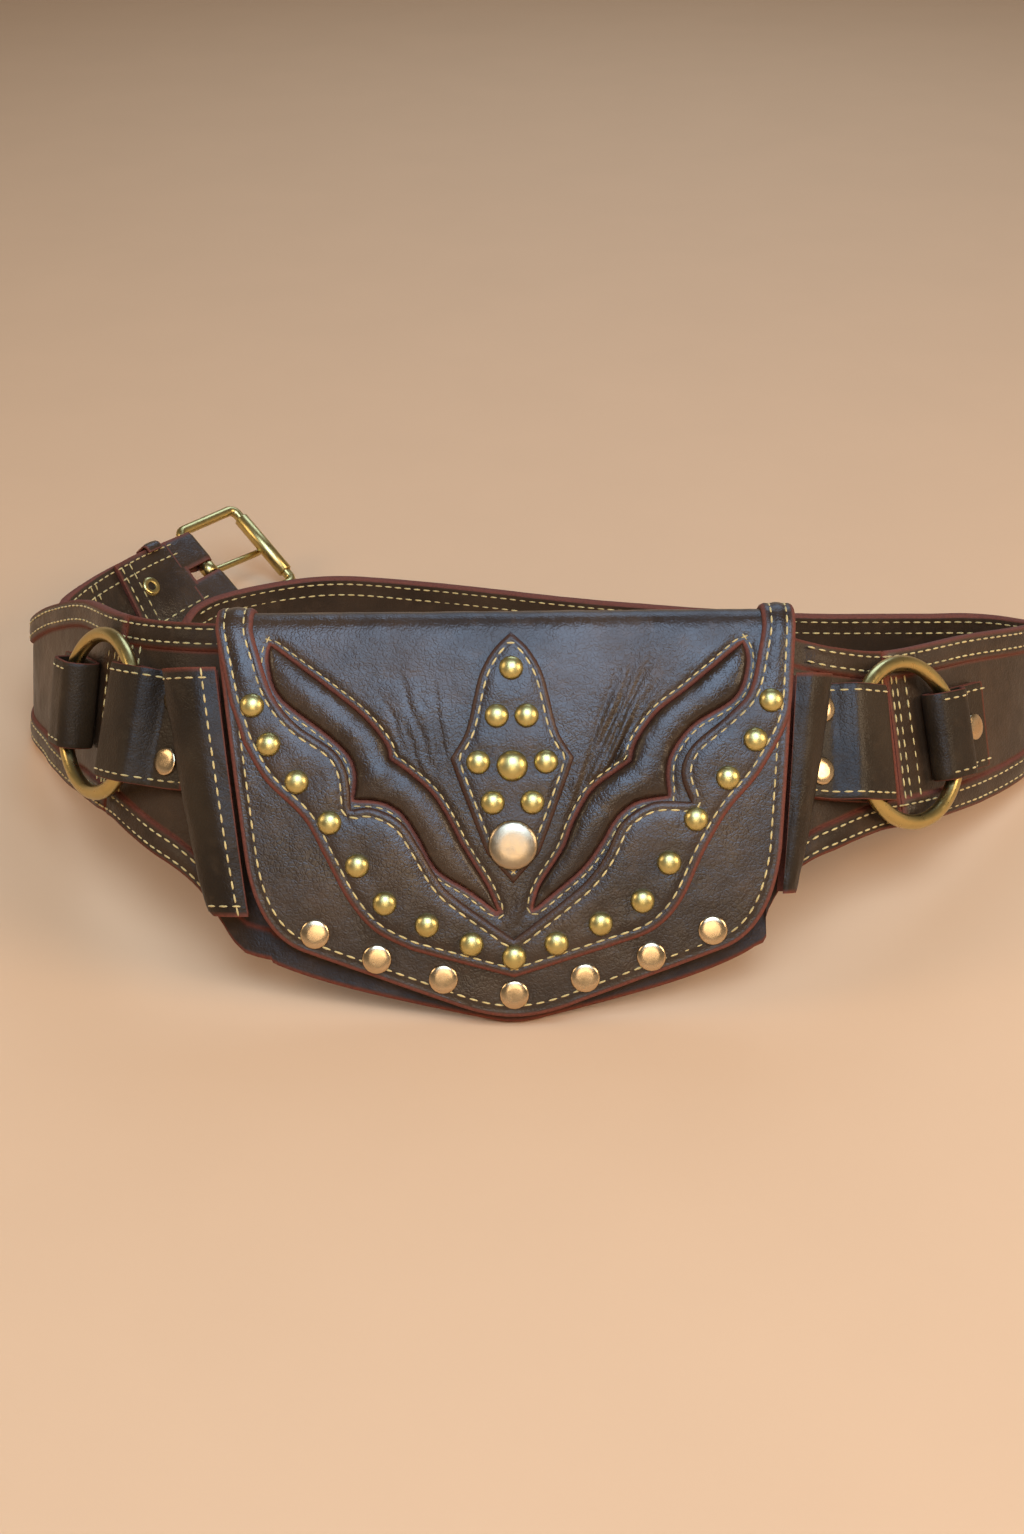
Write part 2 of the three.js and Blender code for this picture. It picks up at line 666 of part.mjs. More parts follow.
function buckleFrame() {
  const corners = [
    [FRAME_LENGTH, -FRAME_HALF, -90],
    [FRAME_LENGTH, FRAME_HALF, 0],
    [0, FRAME_HALF, 90],
    [0, -FRAME_HALF, 180],
  ];
  const CORNER_STEPS = 4;
  const path = corners.flatMap(([x, y, from]) => {
    const middle = new Vector2(
      x - Math.sign(x - FRAME_LENGTH / 2) * FRAME_CORNER,
      y - Math.sign(y) * FRAME_CORNER,
    );
    return [...Array(CORNER_STEPS + 1).keys()].map((i) => {
      const angle = radians(from + (90 * i) / CORNER_STEPS);
      return middle.clone().add(new Vector2(Math.cos(angle), Math.sin(angle)).multiplyScalar(FRAME_CORNER));
    });
  });
  return roundBar(path, true, BAR_RADIUS, (x, y, z) => new Vector3(x, y, z));
}

function buckleRoller() {
  const { inner, outer, half } = ROLLER;
  const profile = points([[inner, -half], [outer, -half], [outer, half], [inner, half], [inner, -half]]);
  return new THREE.LatheGeometry(profile, ROUND_SIDES);
}

function buckleProng() {
  const { collar, width, finger } = PRONG;
  const rest = -(ROLLER.outer + CLEARANCE + finger);
  const tip = FRAME_LENGTH + 3.5;
  const path = points([[1.5, -collar + 1], [8, -collar], [FRAME_LENGTH - 4, rest], [tip, rest]]);
  const bar = solid(roundBar(path, false, finger, (x, z, y) => new Vector3(x, y, z)));
  const ring = solid(new THREE.CylinderGeometry(collar, collar, width, 16));
  const bore = solid(new THREE.CylinderGeometry(HEEL_BORE, HEEL_BORE, 3 * width, 16));
  return geometryOf(bar.add(ring).subtract(bore));
}

// Studs

function domeProfile({ radius, height }) {
  const rim = 0.5;
  const turns = [0, 0.5];
  const crown = turns.map((share) => {
    const angle = (share * Math.PI) / 2;
    return [radius * Math.cos(angle), rim + (height - rim) * Math.sin(angle)];
  });
  return points([[0, 0], [radius, 0], ...crown, [0, height]]);
}

function flatProfile({ radius, height }) {
  return points([
    [0, 0],
    [radius, 0],
    [radius, 0.55 * height],
    [0.82 * radius, 0.92 * height],
    [0, height],
  ]);
}

function lathe(profile, sides = ROUND_SIDES) {
  return new THREE.LatheGeometry(profile, sides);
}

// Assembly

const belt = new THREE.Group();
const pouch = new THREE.Group();
pouch.position.z = FLAP_RISE;
pouch.rotation.x = -FLAP_LEAN;
belt.add(pouch);

function piece(parent, name, geometry, material) {
  const mesh = new THREE.Mesh(geometry, material);
  mesh.name = name;
  parent.add(mesh);
  return mesh;
}

const stations = flapStations();
const wrapped = stations.filter(({ angle }) => angle < YOKE_WRAP);
const overlayFace = -CLEARANCE - OVERLAY_THICK;
const flapBlock = block(joined(flapHalf(LEFT), flapHalf(RIGHT)), CUT_FRONT, CUT_BACK);
const windows = [-1, 1].map((sign) => block(wing(sign, 0), CUT_FRONT, CUT_MIDDLE));
const flapBody = windows.reduce((body, cut) => body.subtract(cut), bentSheet(stations, 0, FLAP_THICK));
piece(pouch, "flap", geometryOf(flapBody.intersect(flapBlock)), DARK_LEATHER);

const yokeBlock = block(joined(yokeLeft, yokeRight), CUT_FRONT, CUT_BACK);
const yokeBody = bentSheet(wrapped, overlayFace, -CLEARANCE).intersect(yokeBlock);
piece(pouch, "yoke", geometryOf(yokeBody), DARK_LEATHER);

const patchBlock = block(joined(patchHalf, patchHalf), CUT_FRONT, CUT_MIDDLE);
const patchBody = bentSheet(wrapped, overlayFace, -CLEARANCE).intersect(patchBlock);
piece(pouch, "diamond_patch", geometryOf(patchBody), DARK_LEATHER);

for (const { side, sign } of SIDES) {
  const padBlock = block(wing(sign, CLEARANCE), CUT_FRONT, CUT_MIDDLE);
  const padBody = bentSheet(wrapped, -PAD_PROUD, FLAP_THICK - CLEARANCE).intersect(padBlock);
  piece(pouch, `wing_pad_${side}`, geometryOf(padBody), DARK_LEATHER);
}

const wallFace = FLAP_THICK + CLEARANCE;
const wallBlock = block(joined(pouchHalf(LEFT), pouchHalf(RIGHT)), CUT_FRONT, CUT_MIDDLE);
const wallBody = bentSheet(stations, wallFace, wallFace + POUCH_WALL).intersect(wallBlock);
piece(pouch, "pouch_front", geometryOf(wallBody), BROWN_LEATHER);

// A side wall from the pouch wall's edge, out in a bulge and back to the hip panel.
function gusset({ sign, mouth, low, high, bulgeLow, bulgeHigh, swell }) {
  const LEVELS = 6;
  const half = POUCH_WALL / 2;
  const rings = [];
  let outline;
  for (let i = 0; i <= LEVELS; i++) {
    const share = i / LEVELS;
    const z = low + (high - low) * share;
    const bulge = bulgeLow + (bulgeHigh - bulgeLow) * share ** swell;
    const edge = THREE.MathUtils.lerp(90, mouth, (z - 56) / (POUCH_TOP - 56));
    const front = flapFace(z).x;
    const back = HIP_LOW.x + (z - HIP_LOW.y) * Math.tan(HIP_OPEN);
    const depth = back - front;
    const route = new THREE.SplineCurve(
      points([
        [edge + 1.6, front + 1.6],
        [edge + 0.5 * bulge, front + 1.4],
        [edge + 0.9 * bulge, front + 0.3 * depth],
        [edge + bulge, front + 0.55 * depth],
        [edge + 0.75 * bulge, front + 0.8 * depth],
        [edge + 0.2 * bulge, back - half - 2 * CLEARANCE],
      ]),
    );
    const path = route.getPoints(9);
    const side = (offset) =>
      path.map((p, k) => {
        const before = path[Math.max(k - 1, 0)];
        const along = path[Math.min(k + 1, path.length - 1)].clone().sub(before).normalize();
        return new Vector2(p.x - along.y * offset, p.y + along.x * offset);
      });
    outline = [...side(half), ...side(-half).reverse()];
    rings.push(outline.map((p) => new Vector3(sign * p.x, p.y, z)));
  }
  return loft(rings, outline);
}

for (const form of SIDES) {
  piece(pouch, `gusset_${form.side}`, gusset(form), BROWN_LEATHER);
}

// A stud on the flap, standing square to its face at a depth.
function flapStud(name, [x, z], depth, profile, material) {
  const mesh = piece(pouch, name, lathe(profile), material);
  const seat = flapFace(z).addScaledVector(inward(flapAngle(z)), depth - CLEARANCE);
  mesh.position.set(x, seat.x, seat.y);
  mesh.rotation.x = Math.PI - flapAngle(z);
}

// The same stud on both sides, or once where it sits on the middle line.
function studPairs(name, rows, depth, profile, material) {
  rows.forEach(([x, z], i) => {
    const number = i + 1;
    if (x === 0) {
      flapStud(`${name}_${number}`, [x, z], depth, profile, material);
      return;
    }
    flapStud(`${name}_${number}_left`, [-x, z], depth, profile, material);
    flapStud(`${name}_${number}_right`, [x, z], depth, profile, material);
  });
}

studPairs("yoke_stud", YOKE_STUDS, overlayFace, domeProfile(DOME), STUD_BRASS);
studPairs("patch_stud", PATCH_STUDS, overlayFace, domeProfile(DOME), STUD_BRASS);
flapStud("patch_dome", PATCH_DOME, overlayFace, domeProfile(BIG_DOME), STUD_BRASS);
flapStud("snap_cap", PATCH_CAP, overlayFace, flatProfile(SNAP_CAP), PALE_BRASS);
studPairs("border_rivet", BORDER_RIVETS, 0, flatProfile(FLAT_RIVET), PALE_BRASS);

piece(belt, "hip_panel", hipPanel(), DARK_LEATHER);
piece(belt, "strap_left", strapLeft(), DARK_LEATHER);
piece(belt, "strap_right", strapRight(), DARK_LEATHER);
piece(belt, "keeper", keeper(), DARK_LEATHER);

const tabForms = [
  { where: "inner", form: INNER_TAB, outward: -1 },
  { where: "outer", form: OUTER_TAB, outward: 1 },
];
for (const { side, sign, ringDrop } of SIDES) {
  const distance = sign < 0 ? LEFT_RING : RIGHT_RING;
  const frame = ringFrame(distance, ringDrop);
  const torus = new THREE.TorusGeometry(RING_RADIUS, RING_WIRE, WIRE_SIDES, RING_SIDES);
  const ring = piece(belt, `ring_${side}`, torus, RING_BRASS);
  ring.quaternion.setFromRotationMatrix(new THREE.Matrix4().makeBasis(frame.along, frame.up, frame.out));
  ring.position.copy(frame.at);
  for (const { where, form, outward } of tabForms) {
    const reach = sign * outward;
    const wire = wireOver(distance, reach);
    piece(belt, `tab_${side}_${where}`, tab(wire, reach, ringDrop, form), BROWN_LEATHER);
    form.rivets.forEach((height, i) => {
      const seat = beltFrame(wire.x + reach * TAB_RIVET_REACH);
      const name = `tab_rivet_${side}_${where}_${i + 1}`;
      const rivet = piece(belt, name, lathe(flatProfile(FLAT_RIVET)), PALE_BRASS);
      rivet.quaternion.setFromUnitVectors(new Vector3(0, 1, 0), seat.out);
      rivet.position.copy(bandPoint(seat, height - ringDrop, TAB_SEAT + 2 * TAB_THICK + 2 * CLEARANCE));
    });
  }
}

const buckle = new THREE.Group();
buckle.applyMatrix4(buckleAxes);
belt.add(buckle);
piece(buckle, "buckle_frame", buckleFrame(), RING_BRASS);
piece(buckle, "buckle_prong", buckleProng(), RING_BRASS);
const roller = piece(buckle, "buckle_roller", buckleRoller(), RING_BRASS);
roller.position.x = FRAME_LENGTH;

// The origin is the middle of the belt's box, at the table.
belt.updateMatrixWorld(true);
const box = new THREE.Box3().setFromObject(belt, true);
const middle = box.getCenter(new Vector3());
belt.position.set(-middle.x, -middle.y, -box.min.z);

export default belt;
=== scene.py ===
"""Looks of a leather hip belt with a studded pouch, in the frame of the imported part."""

import math

import bpy
import numpy as np
from mathutils import Matrix, Vector, noise
from mathutils.geometry import delaunay_2d_cdt


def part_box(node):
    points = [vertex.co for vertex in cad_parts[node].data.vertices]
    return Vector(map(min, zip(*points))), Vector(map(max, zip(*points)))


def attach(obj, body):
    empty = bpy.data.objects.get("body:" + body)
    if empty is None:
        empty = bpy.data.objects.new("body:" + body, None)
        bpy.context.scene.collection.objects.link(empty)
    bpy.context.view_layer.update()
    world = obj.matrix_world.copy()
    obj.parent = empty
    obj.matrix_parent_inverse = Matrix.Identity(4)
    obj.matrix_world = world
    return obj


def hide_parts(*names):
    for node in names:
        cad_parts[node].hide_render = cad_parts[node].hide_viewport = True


bl_info = {
    "name": "Studded Hip Belt",
    "version": (1, 0, 0),
    "blender": (4, 5, 0),
    "location": "View3D > Sidebar > Hip Belt",
    "description": "Leather, stitches and brass of a hip belt with a studded pouch",
    "category": "Add Mesh",
}

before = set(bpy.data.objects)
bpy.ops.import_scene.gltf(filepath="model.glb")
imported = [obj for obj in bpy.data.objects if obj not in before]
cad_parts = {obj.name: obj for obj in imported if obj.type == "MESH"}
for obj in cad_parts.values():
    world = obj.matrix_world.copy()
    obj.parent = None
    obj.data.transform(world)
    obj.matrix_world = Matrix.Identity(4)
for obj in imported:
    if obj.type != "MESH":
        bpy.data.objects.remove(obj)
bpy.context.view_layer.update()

# The design is in millimetres; Blender is in metres
MM = 0.001
ORIGIN = np.array([-9.34, -180.64, 0.07])  # the design's origin in the part's frame
CLEARANCE = 0.3

# Flap, in the pouch's frame: x to the right, z up the flap, y into the pouch
FLAP_LEAN = math.radians(32)
FLAP_RISE = 7.7
FLAP_THICK = 2.4
FLAP_FRONT = 131.0
FLAP_SIDE = (90, 56)  # where its straight sides start
FLAP_BELLY = 62.0
FLAP_CURVE = 420.0
FOLD_RADIUS = 8.0
FLAP_TAIL = 15.0
SECTION_STEP = 0.5
FOLD_SMOOTHING = 60
OVERLAY_THICK = 1.6
YOKE_WRAP = math.radians(110)
POUCH_WALL = 2.0
POUCH_TOP = 118.0
POUCH_INSET = 2.5
HIP_OPEN = math.radians(8.4)
HIP_LOW = (9.2, -2.0)

# The two sides: the flap's edge from the middle at the fold and at the pouch's mouth, the gusset's heights,
# its bulge at each and how fast it swells, and the ring's drop
LEFT = {
    "side": "left", "sign": -1, "corner": 99.5, "mouth": 97.8,
    "low": 35, "high": 119, "bulge": (13, 20.2), "swell": 0.4, "drop": 0,
}
RIGHT = {
    "side": "right", "sign": 1, "corner": 96, "mouth": 94.5,
    "low": 41, "high": 115, "bulge": (5.5, 14.5), "swell": 0.8, "drop": 2,
}
SIDES = (LEFT, RIGHT)

# Studs: seat radius, height
DOME = (4.1, 3.2)
BIG_DOME = (5.3, 3.8)
FLAT_RIVET = (5.0, 1.6)
SNAP_CAP = (8.4, 2.6)

# Belt band
BAND_THICK = 3.2
EDGE_RAISE = 1.2
EDGE_FAINT = 0.15
EDGE_START = 104.0
SEAM_GAP = 1.4
HIP_CENTRE = 99.5
TIP_LENGTH = 16.0
HOLE_RADIUS = 2.4
HOLES = 5
HOLE_FIRST = 70.0
HOLE_PITCH = 25.0

# Rings and their tabs
RING_RADIUS = 28.75
RING_WIRE = 2.75
TAB_THICK = 1.8
TAB_SEAT = 0.6
RING_LIFT = 1.5
INNER_TAB = {"half": 20.5, "fold": 15.0, "end": 20.0, "rivets": (-11, 11)}
OUTER_TAB = {"half": 16.0, "fold": 13.0, "end": 22.0, "rivets": (0,)}
TAB_RIVET_REACH = 13.5

# Buckle, from the heel bar
BAR_RADIUS = 2.4
FRAME_LENGTH = 36.0
FRAME_HALF = 23.1
FRAME_CORNER = 3.5
ROLLER = {"inner": 2.5, "outer": 3.5, "half": 17.0}
PRONG = {"collar": 3.8, "width": 5.0, "finger": 1.8}
HEEL_BORE = 2.5
HEEL_WALL = 2.0
FOLD_BACK = 50.0
FOLD_THICK = 2.0
SLOT_HALF = 3.2
SLOT_LENGTH = 12.0
KEEPER = {"from": 19.0, "to": 28.0, "thick": 1.6, "hook": 4.0, "clear": 0.7, "corner": 1.4}

# The hip panel's middle and slope
HIP_LEAN = FLAP_LEAN + HIP_OPEN
HIP_SLOPE = math.tan(HIP_LEAN)
HIP_Y = (
    HIP_LOW[0] * math.cos(FLAP_LEAN)
    + HIP_LOW[1] * math.sin(FLAP_LEAN)
    + HIP_CENTRE * math.sin(HIP_LEAN)
)
HIP_Z = (
    FLAP_RISE
    - HIP_LOW[0] * math.sin(FLAP_LEAN)
    + HIP_LOW[1] * math.cos(FLAP_LEAN)
    + HIP_CENTRE * math.cos(HIP_LEAN)
)

# The belt's centre line from the heel bar to the tongue: x, y, z, lean in x and y, half width
BELT_LINE = (
    (-141, 317, 17.9, -1.0, 1.07, 20),
    (-167, 284, 19.2, -0.5, 0.45, 20),
    (-191, 245, 20.6, -0.1, 0.08, 20),
    (-199, 207, 25, 0.08, 0.12, 24),
    (-183, 173, 40, 0.12, 0.35, 32),
    (-164, 141, 53, 0.06, 0.58, 36.5),
    (-144.5, 108, 64, 0, 0.74, 36.5),
    (-117, 80, 73, 0, HIP_SLOPE, 39),
    *((x, HIP_Y, HIP_Z, 0, HIP_SLOPE, 39.5) for x in (-88, -82)),
    *((x, HIP_Y, HIP_Z, 0, HIP_SLOPE, 34.5) for x in (-41, 0, 41, 82, 88)),
    (112, 78, 69, 0, HIP_SLOPE, 33),
    (138, 97, 57, 0, 0.76, 32),
    (172, 126, 47, -0.06, 0.58, 32),
    (204, 161, 36, -0.12, 0.32, 29),
    (219, 196, 25, -0.04, 0.08, 24),
    (201, 222.5, 20.7, 0, 0, 20),
    (168, 226, 20, 0, 0, 20),
    (121, 227.5, 20, 0, 0, 20),
    (39, 241, 20, 0, 0, 20),
    (-36, 260, 20, 0, 0, 20),
    (-82, 266.5, 20, 0, 0, 20),
    (-127, 249, 20, 0, 0, 20),
    (-142, 226, 20, 0, 0, 20),
)
LEFT_RING_ROW = 6
MIDDLE_ROW = 11
RIGHT_RING_ROW = 16
HIP_EDGE = (
    (0, 0), (9, 1.2), (50, 11), (74, 19), (86, 26), (92, 34.7), (98, 44), (104, 50),
    (112, 55), (124, 59.5), (138, 62.5), (150, 63),
)

# Half outlines on the flap, as runs of x and z that meet at corners
LEFT["yoke_outer"] = (
    ((0, 13.8), (34, 23.2)),
    ((34, 23.2), (46.5, 29.8), (55.5, 40.5), (63, 55), (70, 67.8), (82.5, 80.4), (90, 93.2)),
    ((90, 93.2), (92.2, 100.3), (94.4, 106.4)),
    ((94.4, 106.4), (LEFT["corner"], FLAP_FRONT)),
)
LEFT["yoke_inner"] = (
    ((87, 131), (85, 124), (80, 109.2), (72, 99.2), (59.5, 90.3), (55, 82), (54, 70.6)),
    ((54, 70.6), (46.5, 71), (37.5, 66.5), (31.8, 58.5), (26.3, 48.8), (20, 41.3), (0, 26.6)),
)
LEFT["wing"] = (
    ((81, 126), (81.4, 119.5), (77.5, 108.7), (62.5, 96.6), (54.6, 89), (52.2, 82), (53, 74)),
    ((53, 74), (44, 73.2), (37, 69.2), (31.5, 61), (25.5, 50.3), (14.5, 43), (5.6, 36)),
    ((5.6, 36), (9.2, 44.5), (17.3, 58), (21, 65.5), (27, 75.3), (35, 82.7), (41.3, 87.2)),
    ((41.3, 87.2), (42.6, 92.4), (50, 101.6), (61, 110.7), (81, 126)),
)
RIGHT["yoke_outer"] = (
    ((0, 13.8), (33.6, 24.3)),
    ((33.6, 24.3), (46.7, 29.3), (56, 38.8), (64, 55.5), (72.3, 69.3), (82.1, 80.6), (90.5, 94.3)),
    ((90.5, 94.3), (92.9, 100.3), (94, 106.4)),
    ((94, 106.4), (RIGHT["corner"], FLAP_FRONT)),
)
RIGHT["yoke_inner"] = (
    ((84.8, 131), (83.5, 124), (79.8, 109.2), (72.4, 101), (60, 90.5), (56.5, 81.2), (59.6, 72)),
    ((59.6, 72), (46.7, 71.9), (36.5, 65.5), (31.1, 55), (25, 46.7), (16.5, 39.3), (0, 26.6)),
)
RIGHT["wing"] = (
    ((78, 125.3), (79.1, 118.5), (75, 107.5), (60.9, 98.4), (53.9, 90), (51.6, 83), (52, 74.3)),
    ((52, 74.3), (41.6, 72.5), (34.6, 67.2), (29.1, 58.3), (23, 50.3), (13.3, 42), (6.6, 36.5)),
    ((6.6, 36.5), (9.2, 44.5), (17, 56.7), (20.8, 66), (26.7, 75.9), (34.5, 82), (40, 85.7)),
    ((40, 85.7), (42, 92.5), (49.2, 102.2), (60, 110.5), (78, 125.3)),
)
PATCH = (
    ((0, 45.4), (8.9, 55.5)),
    ((8.9, 55.5), (12.9, 66), (17.5, 78.3), (20.7, 87.3)),
    ((20.7, 87.3), (16.3, 94.3), (14.2, 100.3), (12.7, 107.3), (10.3, 116.2), (5.8, 124), (0, 129.6)),
)


# Flat geometry


def unit(vectors):
    return vectors / np.maximum(np.linalg.norm(vectors, axis=-1, keepdims=True), 1e-9)


def spline(rows, steps=16):
    """Points on a curve through some points, both ends included."""
    p = np.asarray(rows, float)
    before = np.vstack([p[:1], p[:-2]])
    after = np.vstack([p[2:], p[-1:]])
    w = np.linspace(0, 1, steps, endpoint=False)[:, None]
    runs = []
    for a, b, c, d in zip(before, p[:-1], p[1:], after):
        start = (c - a) / 2
        end = (d - b) / 2
        cubic = (2 * b - 2 * c + start + end) * w**3
        runs.append(cubic + (3 * c - 3 * b - 2 * start - end) * w**2 + start * w + b)
    return np.vstack([*runs, p[-1:]])


def quadratic(a, b, c, steps=16):
    w = np.linspace(0, 1, steps + 1)[:, None]
    return np.array(a) * (1 - w) ** 2 + 2 * np.array(b) * w * (1 - w) + np.array(c) * w**2


def lengths(line):
    """Length along a line at each of its points."""
    return np.concatenate([[0], np.cumsum(np.linalg.norm(np.diff(line, axis=0), axis=1))])


def resample(line, step, corner=math.radians(28)):
    """A line with points at even steps between its corners."""
    line = line[np.concatenate([[True], np.diff(lengths(line)) > 1e-6])]
    along = unit(np.diff(line, axis=0))
    turn = np.arccos(np.clip((along[1:] * along[:-1]).sum(1), -1, 1))
    stops = [0, *(np.nonzero(turn > corner)[0] + 1), len(line) - 1]
    parts = []
    for a, b in zip(stops, stops[1:]):
        part = line[a : b + 1]
        length = lengths(part)
        count = max(2, round(length[-1] / step) + 1)
        at = np.linspace(0, length[-1], count)[:-1]
        parts.append(np.stack([np.interp(at, length, column) for column in part.T], 1))
    return np.vstack([*parts, line[-1:]])


def left_of(line):
    """Directions to the left of a flat line at its points."""
    along = unit(np.gradient(line, axis=0))
    return np.stack([-along[:, 1], along[:, 0]], 1)


def loop_of(line, step=1.0):
    """A closed loop of evenly spaced points, the first not repeated."""
    return resample(np.vstack([line, line[:1]]), step)[:-1]


def joined(left, right):
    """A closed loop from two half outlines, both drawn on the right from the middle line."""
    left = left[left[:, 0] > 1e-6] * (-1, 1)
    return loop_of(np.vstack([right, left[::-1]]))


def area(loop):
    x, y = loop.T
    return (x * np.roll(y, -1) - y * np.roll(x, -1)).sum() / 2


def spans(loops):
    starts = np.vstack(loops)
    ends = np.vstack([np.roll(loop, -1, 0) for loop in loops])
    return starts, ends


CHUNK = 800  # points compared with all edges at once
SLIVER = 1e-3  # twice the area of the smallest triangle kept


def edge_distance(points, loops):
    """Distance of flat points from the nearest edge of some closed loops."""
    starts, ends = spans(loops)
    span = ends - starts
    square = np.maximum((span**2).sum(1), 1e-12)
    found = np.empty(len(points))
    for i in range(0, len(points), CHUNK):
        part = points[i : i + CHUNK, None] - starts
        share = np.clip((part * span).sum(2) / square, 0, 1)
        off = part - share[..., None] * span
        found[i : i + CHUNK] = np.sqrt((off**2).sum(2).min(1))
    return found


def nearest(points, others):
    """Distance of flat points from the nearest of some other points."""
    return np.array([np.sqrt(((others - p) ** 2).sum(1).min()) for p in points])


def inside(points, loops):
    """True for flat points inside an odd number of closed loops."""
    starts, ends = spans(loops)
    rise = ends[:, 1] - starts[:, 1]
    slope = (ends[:, 0] - starts[:, 0]) / np.where(rise == 0, 1, rise)
    hit = np.empty(len(points), bool)
    for i in range(0, len(points), CHUNK):
        x = points[i : i + CHUNK, :1]
        y = points[i : i + CHUNK, 1:]
        crosses = (starts[:, 1] > y) != (ends[:, 1] > y)
        hit[i : i + CHUNK] = (crosses & (x < starts[:, 0] + (y - starts[:, 1]) * slope)).sum(1) % 2 == 1
    return hit


def offset(loop, distance):
    """A line beside a closed loop, on its inner side where the distance is positive."""
    along = unit(unit(np.roll(loop, -1, 0) - loop) + unit(loop - np.roll(loop, 1, 0)))
    left = np.stack([-along[:, 1], along[:, 0]], 1)
    moved = loop + math.copysign(distance, area(loop) * distance) * left
    return moved[edge_distance(moved, [loop]) > 0.97 * abs(distance)]


def triangulate(loops, rows, step, extra=None):
    """Points and triangles that fill the first loop less the others, with rows of points by their edges."""
    edges = []
    first = 0
    for loop in loops:
        count = len(loop)
        edges += [(first + i, first + (i + 1) % count) for i in range(count)]
        first += count
    signs = [1] + [-1] * (len(loops) - 1)
    beside = [offset(loop, sign * row) for loop, sign in zip(loops, signs) for row in rows]
    low = loops[0].min(0)
    high = loops[0].max(0)
    grid_x, grid_y = np.meshgrid(
        np.arange(low[0], high[0], step), np.arange(low[1], high[1], step * 0.866)
    )
    grid_x[1::2] += step / 2
    grid = np.stack([grid_x.ravel(), grid_y.ravel()], 1)
    away = np.abs(edge_distance(grid, loops)[:, None] - np.array([0, *rows])).min(1)
    grid = grid[away > 0.4 * step]
    if extra is not None:
        grid = np.vstack([grid[nearest(grid, extra) > 0.5 * step], extra])
    fill = np.vstack([*beside, grid])
    fill = fill[inside(fill, loops)]
    fill = fill[edge_distance(fill, loops) > 0.9 * min(rows)]
    coords = [Vector(p) for p in np.vstack([*loops, fill])]
    verts, _, faces, *_ = delaunay_2d_cdt(coords, edges, [], 0, 1e-5)
    flat = np.array(verts)
    triangles = np.array(faces)
    a, b, c = (flat[triangles[:, i]] for i in range(3))
    (x1, y1), (x2, y2) = (b - a).T, (c - a).T
    wide = np.abs(x1 * y2 - y1 * x2) > SLIVER
    return flat, triangles[wide & inside((a + b + c) / 3, loops)]


def rough(points, scale, seed, detail=2):
    """Smooth noise from -1 to 1 at some points, with features of a given size."""
    points = np.asarray(points, float) / scale
    if points.shape[1] == 2:
        points = np.column_stack([points, np.zeros(len(points))])
    shift = Vector((seed * 7.13, seed * 3.71, seed * 1.93))
    return np.array([noise.fractal(Vector(p) + shift, 1.0, 2.0, detail) for p in points])


def smoothstep(value, low, high):
    share = np.clip((value - low) / (high - low), 0, 1)
    return share * share * (3 - 2 * share)


# Flap section


def lean_of(z):
    return np.arcsin((z - FLAP_BELLY) / FLAP_CURVE)


def fold_arc(centre, start, end, steps):
    lean = np.linspace(start, end, steps)
    return np.stack(
        [centre[0] - FOLD_RADIUS * np.cos(lean), centre[1] + FOLD_RADIUS * np.sin(lean), lean], 1
    )


def flap_section():
    """Rows of length, y, z and lean on the flap's face, from its lower edge over the fold to the tail."""
    start = lean_of(FLAP_FRONT)
    end = math.pi + HIP_OPEN
    lean = np.linspace(lean_of(0.0), start, 100)
    front = np.stack(
        [FLAP_CURVE * (1 - np.cos(lean)), FLAP_BELLY + FLAP_CURVE * np.sin(lean), lean], 1
    )
    first = front[-1, :2] + FOLD_RADIUS * np.array([math.cos(start), -math.sin(start)])
    seat = FOLD_RADIUS + 2 * CLEARANCE
    rise = (first[1] - HIP_LOW[1] - seat * math.sin(HIP_OPEN)) / math.cos(HIP_OPEN)
    second = (HIP_LOW[0] + rise * math.sin(HIP_OPEN) - seat * math.cos(HIP_OPEN), first[1])
    turns = [fold_arc(first, start, math.pi / 2, 16)[1:], fold_arc(second, math.pi / 2, end, 30)]
    rows = np.vstack([front, *turns])
    tail = rows[-1] + FLAP_TAIL * np.array([math.sin(end), math.cos(end), 0])
    rows = np.vstack([rows, tail])
    length = lengths(rows[:, :2])
    even = np.linspace(0, length[-1], round(length[-1] / SECTION_STEP))
    curve = np.stack([np.interp(even, length, column) for column in rows[:, :2].T], 1)
    for _ in range(FOLD_SMOOTHING):
        curve[1:-1] = (curve[:-2] + 2 * curve[1:-1] + curve[2:]) / 4
    along = np.gradient(curve, axis=0)
    lean = np.arctan2(along[:, 0], along[:, 1])
    return np.column_stack([lengths(curve), curve, np.unwrap(lean)])


SECTION = flap_section()
FRONT_ROWS = SECTION[SECTION[:, 3] < math.radians(40)]
FOLD_LENGTH = np.interp(FLAP_FRONT, FRONT_ROWS[:, 2], FRONT_ROWS[:, 0])
WRAP_LENGTH = np.interp(YOKE_WRAP, SECTION[:, 3], SECTION[:, 0])
TAIL_LENGTH = SECTION[-1, 0]


def up_flap(rows):
    """Points in x and z on the flap's front as x and length up the flap."""
    rows = np.asarray(rows, float)
    return np.stack([rows[:, 0], np.interp(rows[:, 1], FRONT_ROWS[:, 2], FRONT_ROWS[:, 0])], 1)


def turn_pouch(vectors):
    """Vectors in the pouch's frame turned into the part's frame."""
    x, y, z = vectors.T
    cos = math.cos(FLAP_LEAN)
    sin = math.sin(FLAP_LEAN)
    return np.stack([x, y * cos + z * sin, z * cos - y * sin], 1)


def from_pouch(points):
    return turn_pouch(points) + ORIGIN + (0, 0, FLAP_RISE)


def flap_lean(flat):
    return np.interp(flat[:, 1], SECTION[:, 0], SECTION[:, 3])


